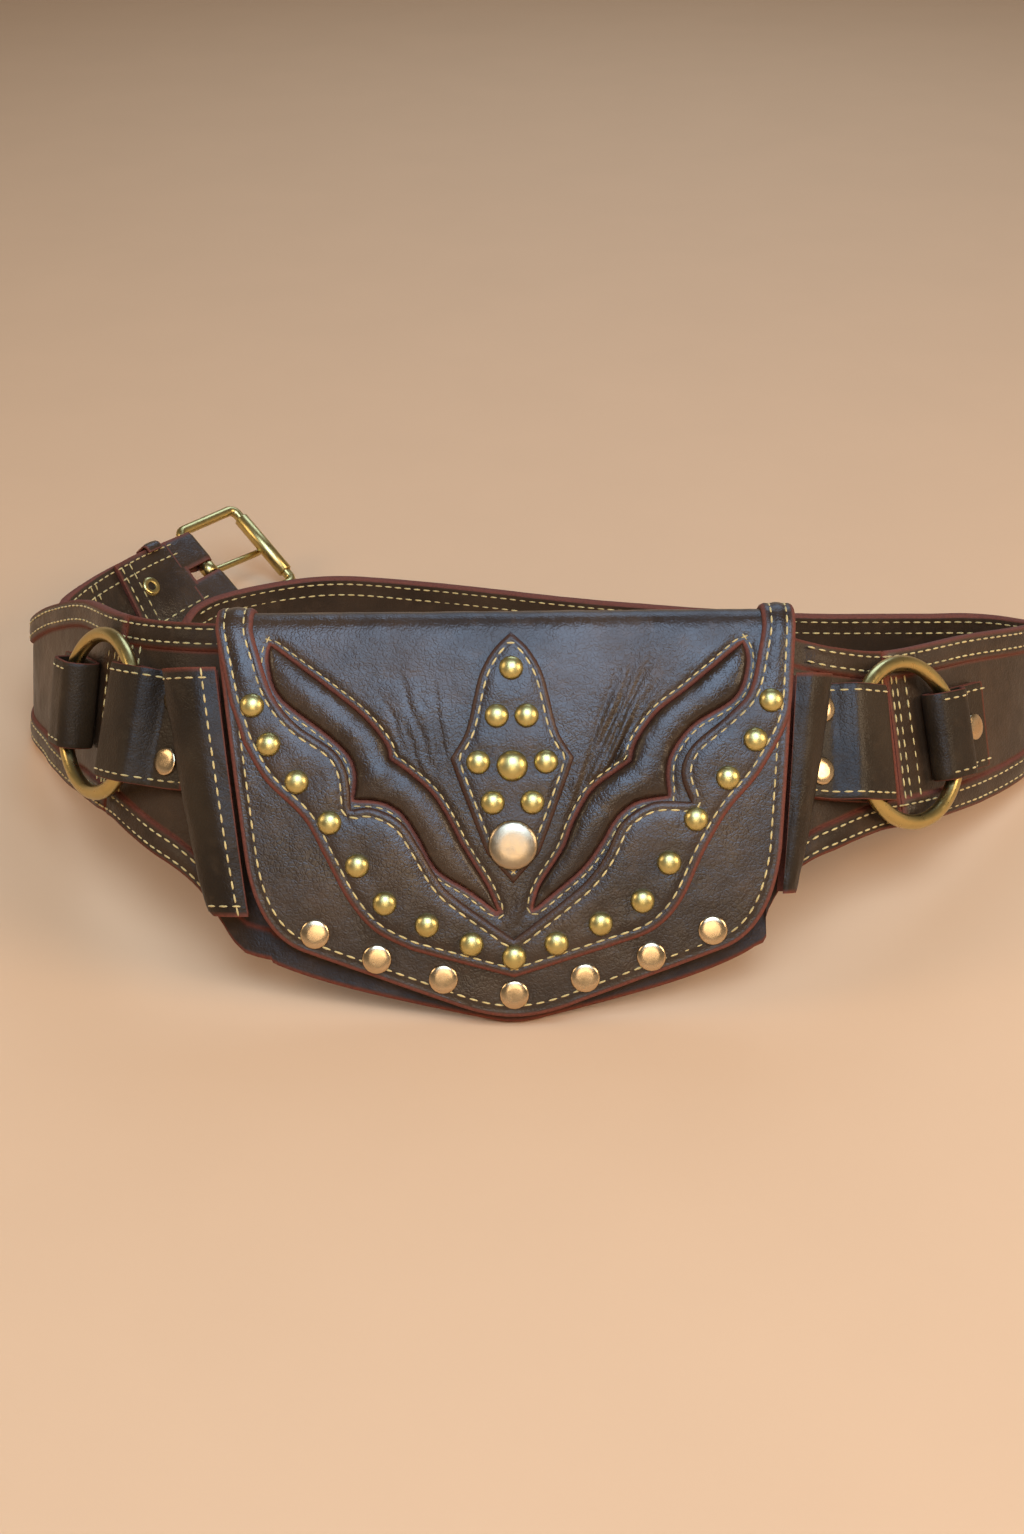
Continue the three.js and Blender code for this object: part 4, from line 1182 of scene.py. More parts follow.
def long_folds():
    """The long folds as lines of x and length up the flap, each with its depth."""
    folds = []
    for low, high, narrow, wide, count, depth in FANS:
        along = unit(np.subtract(high, low).astype(float))
        across = np.array((along[1], -along[0]))
        for i in range(count):
            share = i / (count - 1) - 0.5
            foot, head, first, second, deep = (math.sin(rate * i + at) for rate, at in FOLD_WAVES)
            start = low + across * narrow * share + along * FOLD_STAGGER[0] * foot
            end = high + across * wide * share - along * FOLD_STAGGER[1] * (1 + head)
            bends = (0, FOLD_BENDS[0] * first, FOLD_BENDS[1] * second, 0)
            line = [start + (end - start) * k / 3 + across * bend for k, bend in enumerate(bends)]
            folds.append((resample(spline(line), 1.0), depth * (1 - FOLD_VARIES + FOLD_VARIES * deep)))
    return folds


def beside_folds(folds):
    """Points on and beside the folds, so that the sheet's mesh follows them."""
    points = []
    for line, _ in folds:
        side = -left_of(line)
        points += [line + side * d for d in (-PUFF_PLACE, -FOLD_WIDTH, 0, FOLD_WIDTH, PUFF_PLACE)]
    return np.vstack(points)


def folded(flat, folds):
    """How far the folds lift and lower the leather."""
    lift = np.zeros(len(flat))
    for line, depth in folds:
        off = np.sqrt(((flat[:, None] - line) ** 2).sum(2))
        fade = np.sin(math.pi * off.argmin(1) / (len(line) - 1)) ** FOLD_FADE
        off = off.min(1)
        puff = PUFF_SHARE * np.exp(-(((off - PUFF_PLACE) / PUFF_WIDTH) ** 2))
        lift += depth * fade * (puff - np.exp(-((off / FOLD_WIDTH) ** 2)))
    return lift


RIM_WIDTH = 5  # of the leather that is drawn in round a window
RIM_SINK = 0.5


class PieceOperator:
    bl_options = {"REGISTER", "UNDO"}


class BELT_OT_flap(PieceOperator, bpy.types.Operator):
    """Makes the flap with its two windows, and its stitches"""

    bl_idname = "belt.flap"
    bl_label = "Flap"

    def execute(self, context):
        outline = both(flap_half)
        windows = [wing_loop(form) for form in SIDES]
        seats = stud_seats(nodes_like("border_rivet"))
        folds = long_folds()

        def relief(flat):
            rim = smoothstep(edge_distance(flat, windows), 0, RIM_WIDTH)
            sink = dimples(flat, seats, *RIVET_DIMPLE) + RIM_SINK * (1 - rim)
            return flap_wrinkles(flat) - sink + rim * folded(flat, folds)

        loops = [outline, *windows]
        piece = make_sheet(
            "flap_leather", loops, WINDOW_STITCH, 0.0, FLAP_THICK, relief, 1.5,
            crease=flap_creases, extra=beside_folds(folds),
        )
        stands_for(piece, "dark_leather", "flap")
        yoke = both(yoke_half)
        edge = offset(outline, FLAP_STITCH)
        clear = ~inside(edge, [yoke]) & (edge[:, 1] < FOLD_LENGTH)
        stitched("flap_stitches", flap_rows(split_rows(edge, clear), -STITCH_SINK))
        rows = []
        for window in windows:
            line = offset(window, -WINDOW_STITCH)
            line = np.vstack([line, line[:1]])
            clear = ~inside(line, [yoke])
            rows += flap_rows(split_rows(line, clear), -WINDOW_SINK)
        stitched("window_stitches", rows, WINDOW_STITCH_SIZE)
        return {"FINISHED"}


OVERLAY_PUFF = 0.35  # rise of the overlays' middle
ARM_START = (98, 112)  # lengths up the flap between which the yoke becomes its arms


class BELT_OT_overlays(PieceOperator, bpy.types.Operator):
    """Makes the yoke and the diamond patch, and their stitches"""

    bl_idname = "belt.overlays"
    bl_label = "Yoke and diamond patch"

    def execute(self, context):
        face = CLEARANCE + OVERLAY_THICK
        rows = []
        inner = np.vstack([up_flap(runs(form["yoke_inner"])) * (form["sign"], 1) for form in SIDES])

        def yoke_rawness(flat):
            arm = smoothstep(flat[:, 1], *ARM_START)
            return np.where(nearest(flat, inner) < RAW_WIDTH + 1, 0.15 + 0.75 * arm, 1)

        def patch_rawness(flat):
            return np.full(len(flat), 0.2)

        for name, loop, stitch, studs, rawness in (
            ("yoke", both(yoke_half), YOKE_STITCH, ("yoke_stud",), yoke_rawness),
            ("diamond_patch", both(patch_half), PATCH_STITCH, ("patch_", "snap_"), patch_rawness),
        ):
            seats = stud_seats(nodes_like(*studs))

            def relief(flat):
                puff = OVERLAY_PUFF * smoothstep(edge_distance(flat, [loop]), stitch, stitch + 4)
                return puff - dimples(flat, seats, *DOME_DIMPLE) + waves(flat, OVERLAY_WAVES)

            piece = make_sheet(
                f"{name}_leather", [loop], stitch, face, face, relief, 1.4, drop=1.2, rawness=rawness
            )
            stands_for(piece, "dark_leather", name)
            line = offset(loop, stitch)
            rows += flap_rows([np.vstack([line, line[:1]])], face - GROOVE)
        stitched("overlay_stitches", rows)
        return {"FINISHED"}


PAD_RIM = -1.1  # height of a wing pad's rim
PAD_CROWN = 3.7  # its rise to the crown
PAD_RIPPLE = 0.3
PAD_BELOW = 0.1  # how far it goes below the flap
PAD_ROUNDS = 1500  # of the solve that blows it up


class BELT_OT_wing_pads(PieceOperator, bpy.types.Operator):
    """Makes the padded leather that bulges through the flap's windows"""

    bl_idname = "belt.wing_pads"
    bl_label = "Wing pads"

    def execute(self, context):
        for form in SIDES:
            loop = wing_loop(form)
            flat, triangles = triangulate([loop], (0.5, 1.2), 1.5)
            crown = pillow(flat, triangles, edge_distance(flat, [loop]) < 1e-3)
            ripple = PAD_RIPPLE * rough(flat, 7.0, 11, 3) * np.minimum(crown, 1)
            top = PAD_RIM + PAD_CROWN * crown + ripple
            solid = sheet(flat, triangles, top, np.full(len(flat), -FLAP_THICK - PAD_BELOW))
            name = f"wing_pad_{form['side']}"
            piece = make_piece(f"{name}_leather", solid, leather("dark"), sharp=80)
            stands_for(piece, "dark_leather", name)
        return {"FINISHED"}


def pillow(flat, triangles, rim):
    """Heights from 0 at a rim to about 1 of a sheet blown up over its outline."""
    sides = np.vstack([triangles[:, [0, 1]], triangles[:, [1, 2]], triangles[:, [2, 0]]])
    sides = np.vstack([sides, sides[:, ::-1]])
    near = np.bincount(sides[:, 0], minlength=len(flat))
    spread_of = np.zeros(len(flat))
    np.add.at(spread_of, sides[:, 0], ((flat[sides[:, 0]] - flat[sides[:, 1]]) ** 2).sum(1))
    height = np.zeros(len(flat))
    for _ in range(PAD_ROUNDS):
        total = np.bincount(sides[:, 0], weights=height[sides[:, 1]], minlength=len(flat))
        height = (total + spread_of / 4) / near
        height[rim] = 0
    return np.sqrt(height / height.max())


GUSSET_LEVELS = 48
GUSSET_TURNS = ((0.9, 0.3), (1, 0.55), (0.75, 0.8))  # shares of the bulge and of the depth in its middle
GUSSET_WAVE = 0.5
# Rows of stitches on the left gusset by levels and columns: along the front wall, near its top and foot
GUSSET_ROWS = ((slice(1, -1), 5), (-3, slice(5, 26)), (2, slice(5, 16)))


class BELT_OT_pouch(PieceOperator, bpy.types.Operator):
    """Makes the pouch's front wall and its two gussets, and their stitches"""

    bl_idname = "belt.pouch"
    bl_label = "Pouch"

    def execute(self, context):
        loop = both(pouch_half)
        face = -FLAP_THICK - CLEARANCE
        flat, triangles = triangulate([loop], EDGE_ROWS, 4.0)
        distance = edge_distance(flat, [loop])
        top = face - rounded(distance, 0.8)
        solid = sheet(flat, triangles, top, np.full(len(flat), face - POUCH_WALL))
        raw = with_inner(cut_edge(distance), 0.9)
        # The front wall takes the darker brown leather as painted shade, for the flap's shadow over it
        leather_piece("pouch_front", solid, "brown", raw)
        rows = []
        for form in SIDES:
            rows += self.gusset(form)
        stitched("gusset_stitches", rows)
        return {"FINISHED"}

    def gusset(self, form):
        """One side wall; returns its rows of stitches."""
        levels = np.linspace(form["low"], form["high"], GUSSET_LEVELS)
        share = (levels - form["low"]) / (form["high"] - form["low"])
        bulge = form["bulge"][0] + (form["bulge"][1] - form["bulge"][0]) * share ** form["swell"]
        paths = []
        for z, b in zip(levels, bulge):
            start, foot = FLAP_SIDE
            edge = start + (form["mouth"] - start) * (z - foot) / (POUCH_TOP - foot)
            front = FLAP_CURVE * (1 - math.cos(lean_of(z)))
            back = HIP_LOW[0] + (z - HIP_LOW[1]) * math.tan(HIP_OPEN)
            depth = back - front
            # From the front wall's edge round the bulge to the hip panel
            turns = (
                (edge + 1.6, front + 1.6),
                (edge + 0.5 * b, front + 1.4),
                *((edge + wide * b, front + deep * depth) for wide, deep in GUSSET_TURNS),
                (edge + 0.2 * b, back - POUCH_WALL / 2 - 2 * CLEARANCE),
            )
            paths.append(spline(turns, 8))
        paths = np.array(paths)
        along = unit(np.gradient(paths, axis=1))
        side = np.stack([-along[..., 1], along[..., 0]], -1)
        columns = np.arange(paths.shape[1]) * 2.0
        grid = np.stack(np.meshgrid(levels, columns, indexing="ij"), -1).reshape(-1, 2)
        wave = (GUSSET_WAVE * rough(grid, 16.0, 13 + form["sign"])).reshape(paths.shape[:2])
        wave *= smoothstep(share, 0, 0.1)[:, None]
        faces = []
        for sign in (1, -1):
            flat = paths + side * (sign * POUCH_WALL / 2 - wave)[..., None]
            shape = (*flat.shape[:2], 1)
            z = np.broadcast_to(levels[:, None, None], shape)
            corners = np.concatenate([form["sign"] * flat[..., :1], flat[..., 1:], z], -1)
            faces.append(from_pouch(corners.reshape(-1, 3)).reshape(corners.shape))
        inner, outer = faces
        solid = slab(outer, inner)
        raw = with_inner(border_marks(*paths.shape[:2]), 0.85)
        leather_piece(f"gusset_{form['side']}", solid, "brown", raw)
        out = unit(outer - inner)
        lines = GUSSET_ROWS if form["sign"] < 0 else ()
        return [(outer[line], out[line]) for line in lines]


# Columns of the band's outer face by an edge: distance from it, share of the raise, drop, rawness
EDGE_COLUMNS = (
    (0.0, 0.0, 0.5, 1.0),
    (0.35, 0.75, 0.1, 1.0),
    (0.9, 1.0, 0.0, 0.6),
    (1.6, 1.08, 0.0, 0.0),
    (2.4, 0.86, 0.0, 0.0),
    (3.2, 1.1, 0.0, 0.0),
    (5.0, 1.2, 0.0, 0.0),
    (6.8, 1.1, 0.0, 0.0),
    (7.6, 0.86, 0.0, 0.0),
    (8.4, 1.05, 0.0, 0.0),
    (9.2, 1.0, 0.0, 0.3),
    (9.9, 0.5, 0.0, 1.0),
    (10.3, 0.0, 0.1, 0.8),
    (11.4, 0.0, 0.0, 0.0),
)
STITCH_OFFSETS = (2.4, 7.6)
MIDDLE_COLUMNS = 9
EDGE_TUCK = (0.5, 0.15)  # how the inner face's outermost columns draw in


def band_solid(distance, low, high, lift, back=-BAND_THICK):
    """A stretch of the band with raised edge strips; gives its solid and its rawness."""
    offsets, shares, drops, marks = np.array(EDGE_COLUMNS).T
    lift = np.broadcast_to(lift, len(distance))[:, None]
    low = np.broadcast_to(low, len(distance))[:, None]
    high = np.broadcast_to(high, len(distance))[:, None]
    share = np.linspace(0, 1, MIDDLE_COLUMNS + 2)[1:-1]
    room = (high - low) - 2 * offsets[-1]
    heights = np.hstack([low + offsets, low + offsets[-1] + share * room, (high - offsets)[:, ::-1]])
    strip = lift * shares - drops
    proud = np.hstack([strip, np.zeros((len(distance), MIDDLE_COLUMNS)), strip[:, ::-1]])
    places = np.stack([np.broadcast_to(distance[:, None], heights.shape), heights], -1).reshape(-1, 2)
    wave = waves(places, BAND_WAVES).reshape(heights.shape)
    tuck = np.zeros(heights.shape[1])
    for i, depth in enumerate(EDGE_TUCK):
        tuck[[i, -1 - i]] = depth
    outer = band_grid(distance, heights, proud + wave)
    inner = band_grid(distance, heights, np.reshape(back, (-1, 1)) + tuck + wave)
    raw = np.concatenate([marks, np.zeros(MIDDLE_COLUMNS), marks[::-1]])
    raw = np.tile(raw, (len(distance), 1))
    raw[[0, -1]] = 1
    under = np.zeros_like(raw)
    under[:, [0, 1, -2, -1]] = 1
    return slab(outer, inner), np.concatenate([raw.ravel(), under.ravel()])


def stations(start, end, step=2.5):
    return np.linspace(start, end, max(2, round(abs(end - start) / step)) + 1)


def hip_low(distance):
    """Height of the hip panel's lower edge under the belt's centre line."""
    edge = spline(HIP_EDGE)
    seams = np.where(np.asarray(distance) < 0, LEFT_RING + SEAM_GAP / 2, RIGHT_RING - SEAM_GAP / 2)
    rise = (HIP_CENTRE - half_at(seams)) / HIP_EDGE[-1][1]
    reach = np.abs(distance) * HIP_EDGE[-1][0] / np.maximum(np.abs(seams), HIP_EDGE[-1][0])
    return rise * np.interp(reach, edge[:, 0], edge[:, 1]) - HIP_CENTRE


SEAM_LAP = 0.3  # how far the seam's filling goes into the leather
SEAM_ROWS = (2.2, 5.2, 10.5)  # distances of the stitch rows from a seam
SEAM_ROW_ENDS = 11  # how far they stop from the band's edges
SEAM_ROW_RISE = 0.1  # how far they stand off the band's face
STRIP_END = (1.0, 6.0)  # distances from a seam between which the raised strips rise
SLOT_MARGIN = 1.5  # how far the full band stops from the prong's slot
HEEL_TURN = (-25, 205)  # degrees between which the strap lies on the heel bar
FOLD_ROWS = (-3.0, -8.5, 15.0, 18.5)  # distances of the stitch rows past the folded strap's end
TIP_NARROWS = 0.42  # share of its width that the tongue loses at its tip
EYELET = {"reach": 36.5, "height": 4.0, "radius": 4.5, "rise": 1.2}  # on the folded end's inner face


class BELT_OT_band(PieceOperator, bpy.types.Operator):
    """Makes the hip panel, the two straps, the keeper and the seams' filling, and the band's stitches"""

    bl_idname = "belt.band"
    bl_label = "Hip panel and straps"

    def execute(self, context):
        rows = self.hip_panel() + self.strap_left() + self.strap_right()
        stitched("band_stitches", rows)
        self.keeper()
        self.seam_filling()
        return {"FINISHED"}

    def seam_filling(self):
        """Raw leather that closes the seams between the hip panel and the straps."""
        parts = []
        for ring in (LEFT_RING, RIGHT_RING):
            distance = ring + (SEAM_GAP / 2 + SEAM_LAP) * np.linspace(-1, 1, 3)
            half = half_at(ring)[0] - SEAM_LAP
            heights = np.tile(np.linspace(-half, half, 40), (3, 1))
            levels = (-SEAM_LAP, SEAM_LAP - BAND_THICK)
            parts.append(slab(*(band_grid(distance, heights, level) for level in levels)))
        solid = together(*parts)
        piece = make_piece("seam_filling", solid, leather("dark"), np.ones(len(solid[0])))
        stands_for(piece, "dark_leather")

    def hip_panel(self):
        distance = stations(LEFT_RING + SEAM_GAP / 2, RIGHT_RING - SEAM_GAP / 2, 2.0)
        low = hip_low(distance)
        raised = smoothstep(np.abs(distance), EDGE_START - 3, EDGE_START + 3)
        lift = (EDGE_FAINT + (EDGE_RAISE - EDGE_FAINT) * raised) * self.strip_end(distance)
        solid, raw = band_solid(distance, low, half_at(distance), lift)
        piece = make_piece("hip_panel_leather", solid, leather("band"), raw)
        stands_for(piece, "dark_leather", "hip_panel")
        rows = []
        for start, end in ((distance[0], -EDGE_START), (EDGE_START, distance[-1])):
            at = stations(start, end)
            for reach in STITCH_OFFSETS:
                rows.append(band_row(at, half_at(at) - reach, EDGE_RAISE))
                rows.append(band_row(at, hip_low(at) + reach, EDGE_RAISE))
        for sign, end in ((1, distance[0]), (-1, distance[-1])):
            rows += self.seam(end, sign)
        at = distance[1:-1]
        for reach in STITCH_OFFSETS:
            rows.append(band_row(at, half_at(at) - reach, -BAND_THICK, -1))
            rows.append(band_row(at, hip_low(at) + reach, -BAND_THICK, -1))
        return rows

    def strip_end(self, distance):
        """Lowers the raised strips where they meet a seam."""
        away = np.minimum(np.abs(distance - LEFT_RING), np.abs(distance - RIGHT_RING))
        return smoothstep(away, *STRIP_END)

    def seam(self, end, sign):
        """Rows of stitches across the band beside a seam."""
        half = half_at(end)[0] - SEAM_ROW_ENDS
        height = stations(-half, half)
        return [band_row(end + sign * reach, height, SEAM_ROW_RISE) for reach in SEAM_ROWS]

    def edge_rows(self, at):
        rows = []
        for reach in STITCH_OFFSETS:
            for edge in (-1, 1):
                height = edge * (half_at(at) - reach)
                rows.append(band_row(at, height, EDGE_RAISE))
                rows.append(band_row(at, height, -BAND_THICK, -1))
        return rows

    def strap_right(self):
        start = RIGHT_RING + SEAM_GAP / 2
        distance = stations(start, TONGUE_END)
        share = np.clip((distance - TONGUE_END + TIP_LENGTH) / TIP_LENGTH, 0, 1)
        half = half_at(distance) * (1 - TIP_NARROWS * share**2)
        solid, raw = band_solid(distance, -half, half, EDGE_RAISE * self.strip_end(distance))
        piece = make_piece("strap_right_leather", solid, leather("dark"), raw)
        self.punch(piece)
        stands_for(piece, "dark_leather", "strap_right")
        return self.edge_rows(stations(start + 1, TONGUE_END - TIP_LENGTH)) + self.seam(start, 1)

    def punch(self, piece):
        """Cuts the tongue's holes."""
        solids = []
        for i in range(HOLES):
            at, _, up, out = frame_at(TONGUE_END - HOLE_FIRST - i * HOLE_PITCH)
            path = np.array([at - 3 * BAND_THICK * out, at + 3 * BAND_THICK * out])
            solids.append(tube(path, np.array([up, up]), HOLE_RADIUS, False))
        punch = make_piece("punch", together(*solids), leather("dark"))
        piece.modifiers.new("Triangles", "TRIANGULATE")
        cut = piece.modifiers.new("Holes", "BOOLEAN")
        cut.operation = "DIFFERENCE"
        cut.solver = "EXACT"
        cut.object = punch
        evaluated(piece)
        bpy.data.objects.remove(punch)

    def strap_left(self):
        inset = SLOT_LENGTH + SLOT_MARGIN
        distance = stations(BUCKLE_END + inset, LEFT_RING - SEAM_GAP / 2)
        half = half_at(distance)
        solid, raw = band_solid(distance, -half, half, EDGE_RAISE * self.strip_end(distance))
        parts = [solid]
        marks = [raw]
        half = half_at(BUCKLE_END)[0]
        middle = -BAND_THICK / 2
        bend = HEEL_BORE + HEEL_WALL / 2
        turn = np.radians(np.linspace(*HEEL_TURN, 18))
        loop = np.stack([-bend * np.sin(turn), middle + bend * np.cos(turn)], 1)
        layer = -BAND_THICK - FOLD_THICK / 2
        # Along the outer face to the heel bar, round it, and back along the inner face
        route = np.vstack(
            [
                [(inset + 6, -HEEL_WALL / 2 - 0.1), (inset - 4, -0.4), (5, 1.4)],
                loop,
                [(5, layer - 0.6), (inset - 4, layer - 0.2), (inset + 2, layer)],
            ]
        )
        route = resample(spline(route, 4), 1.0)
        for low, high in ((-half, -SLOT_HALF), (SLOT_HALF, half)):
            solid, raw = route_slab(route + (BUCKLE_END, 0), HEEL_WALL, np.linspace(low, high, 9))
            parts.append(solid)
            marks.append(raw)
        back = np.stack([np.linspace(FOLD_BACK, inset - 1, 20), np.full(20, layer)], 1)
        solid, raw = route_slab(back + (BUCKLE_END, 0), FOLD_THICK, np.linspace(-half, half, 17))
        parts.append(solid)
        marks.append(raw)
        leather_piece("strap_left", together(*parts), "dark", np.concatenate(marks))
        doubled = stations(BUCKLE_END + inset, BUCKLE_END + FOLD_BACK - 2)
        rows = []
        under = -BAND_THICK - FOLD_THICK
        for reach in STITCH_OFFSETS:
            for edge in (-1, 1):
                rows.append(band_row(doubled, edge * (half - reach), under, -1))
        height = stations(-half + 4, half - 4)
        for reach in FOLD_ROWS:
            proud = under if reach < 0 else -BAND_THICK
            rows.append(band_row(BUCKLE_END + FOLD_BACK + reach, height, proud, -1))
        rows += self.edge_rows(stations(BUCKLE_END + FOLD_BACK + 2, LEFT_RING - SEAM_GAP / 2 - 1))
        return rows + self.seam(LEFT_RING - SEAM_GAP / 2, -1)

    def keeper(self):
        half = half_at(BUCKLE_END)[0]
        thick = KEEPER["thick"]
        wide = half + KEEPER["clear"] + thick / 2
        top = EDGE_RAISE + KEEPER["clear"] + thick / 2
        under = -BAND_THICK - FOLD_THICK - KEEPER["clear"] - thick / 2
        hook = wide - KEEPER["hook"]
        corner = KEEPER["corner"]
        route = np.array(
            [
                (-hook, under), (-wide + corner, under), (-wide, under + corner), (-wide, top - corner),
                (-wide + corner, top), (wide - corner, top), (wide, top - corner), (wide, under + corner),
                (wide - corner, under), (hook, under),
            ]
        )
        route = resample(route, 1.0)
        side = left_of(route)
        reach = np.linspace(KEEPER["from"], KEEPER["to"], 9)
        edge = np.minimum(reach - KEEPER["from"], KEEPER["to"] - reach)
        grids = []
        for sign in (1, -1):
            thin = sign * thick / 2 * (1 - 0.5 * np.exp(-edge))
            line = route[:, None] + side[:, None] * thin[None, :, None]
            columns = [
                band_grid(np.full(len(route), BUCKLE_END + r), line[:, i, 0:1], line[:, i, 1:2])
                for i, r in enumerate(reach)
            ]
            grids.append(np.concatenate(columns, 1))
        raw = np.tile(border_marks(len(route), len(reach)), 2)
        leather_piece("keeper", slab(*grids), "dark", raw)


def route_slab(route, thick, heights):
    """A strip of leather along a route of distance and height off the band, and its rawness."""
    side = left_of(route)
    edge = np.minimum(heights - heights[0], heights[-1] - heights)
    thin = thick / 2 * (1 - 0.45 * np.exp(-edge / 0.5))
    grids = []
    for sign in (1, -1):
        line = route[:, None] + sign * side[:, None] * thin[None, :, None]
        columns = [band_grid(line[:, i, 0], [h], line[:, i, 1:2]) for i, h in enumerate(heights)]
        grids.append(np.concatenate(columns, 1))
    return slab(*grids), np.tile(border_marks(len(route), len(heights)), 2)


RING_PROUD = TAB_SEAT + TAB_THICK + RING_LIFT + RING_WIRE


def ring_place(form):
    """A ring's centre and its directions along, up and out."""
    distance = LEFT_RING if form["sign"] < 0 else RIGHT_RING
    at, along, up, out = frame_at(distance)
    return distance, at + RING_PROUD * out, along, up, out


def wire_over(form, reach):
    """Where a ring's wire crosses the middle of the band: distance along it and height off its face."""
    distance, centre, along, _, _ = ring_place(form)
    wire = centre + reach * RING_RADIUS * along
    distance += reach * RING_RADIUS
    for _ in range(8):
        at, onward, _, _ = frame_at(distance)
        distance += np.dot(wire - at, onward)
    at, _, _, out = frame_at(distance)
    return distance, np.dot(wire - at, out)


def tab_route(wire, reach, form):
    """The middle line of a loop over the wire: distance along the belt and height off its face."""
    under = TAB_SEAT + TAB_THICK / 2
    over = under + CLEARANCE + TAB_THICK
    crown = wire[1] + RING_WIRE + RING_LIFT / 2 + TAB_THICK / 2
    fold = form["fold"]
    # From the end on the band under the wire, round the fold, and over the wire to the end again
    turns = (
        (form["end"], under), (0, under), (-fold + 7, under), (-fold + 2, under + 0.9),
        (-fold, (under + crown) / 2), (-fold + 2, crown - 0.9), (-fold + 7, crown), (1.5, crown),
        (4.6, wire[1] + 2.3), (8, over + 1.5), (11.5, over + 0.3), (form["end"], over),
    )
    return spline(turns, 6) * (reach, 1) + (wire[0], 0)


TAB_EDGE = (0, 0.4, 1.0)  # columns of points that round an edge
TAB_STITCH = 2.6
TABS = (("inner", INNER_TAB, -1), ("outer", OUTER_TAB, 1))  # 1 is away from the pouch


class BELT_OT_tabs(PieceOperator, bpy.types.Operator):
    """Makes the leather loops that hold the rings, and their stitches"""

    bl_idname = "belt.tabs"
    bl_label = "Tabs"

    def execute(self, context):
        rows = []
        edge = np.array(TAB_EDGE)
        for form in SIDES:
            for where, shape, away in TABS:
                reach = form["sign"] * away
                route = tab_route(wire_over(form, reach), reach, shape)
                half = shape["half"]
                middle = np.linspace(2, 2 * half - 2, 16)
                heights = np.concatenate([edge, middle, 2 * half - edge[::-1]])
                solid, raw = route_slab(route, TAB_THICK, heights - half - form["drop"])
                leather_piece(f"tab_{form['side']}_{where}", solid, "brown", raw)
                shown = route[len(route) // 2 :]
                at = shown + left_of(shown) * reach * TAB_THICK / 2
                for height in (TAB_STITCH - half, half - TAB_STITCH):
                    rows.append(band_row(at[:, 0], height - form["drop"], at[:, 1:]))
        stitched("tab_stitches", rows)
        return {"FINISHED"}


RING_STEPS = 96


class BELT_OT_rings(PieceOperator, bpy.types.Operator):
    """Makes the two brass rings"""

    bl_idname = "belt.rings"
    bl_label = "Rings"

    def execute(self, context):
        for form in SIDES:
            _, centre, along, up, out = ring_place(form)
            centre = centre - form["drop"] * up
            turn = np.linspace(0, 2 * math.pi, RING_STEPS, endpoint=False)[:, None]
            path = centre + RING_RADIUS * (np.cos(turn) * along + np.sin(turn) * up)
            solid = tube(path, np.tile(out, (len(path), 1)), RING_WIRE, True)
            name = f"ring_{form['side']}"
            piece = make_piece(f"{name}_brass", solid, brass("ring"))
            stands_for(piece, "ring_brass", name)
        return {"FINISHED"}


def dome_profile(radius, height):
    rim = 0.5
    turn = np.linspace(0, math.pi / 2, 7)
    crown = [(radius * math.cos(a), rim + (height - rim) * math.sin(a)) for a in turn[:-1]]
    return [(0, 0), (radius, 0), *crown, (0, height)]


def eyelet_profile(radius, height):
    hole = 0.45 * radius
    return [
        (0, 0), (radius, 0), (0.96 * radius, 0.6 * height), (0.75 * radius, height),
        (hole, 0.7 * height), (hole, 0.2 * height), (0, 0.2 * height),
    ]


def plug_profile(radius, height):
    return [(0, 0), (0.44 * radius, 0), (0.44 * radius, 0.3 * height), (0, 0.3 * height)]


def flat_profile(radius, height):
    return [
        (0, 0), (radius, 0), (radius, 0.5 * height), (0.95 * radius, 0.72 * height),
        (0.84 * radius, 0.9 * height), (0.45 * radius, 0.98 * height), (0, height),
    ]


STUD_SINK = 0.3  # how far studs go into the leather's face
TAB_RIVET_SINK = 0.1


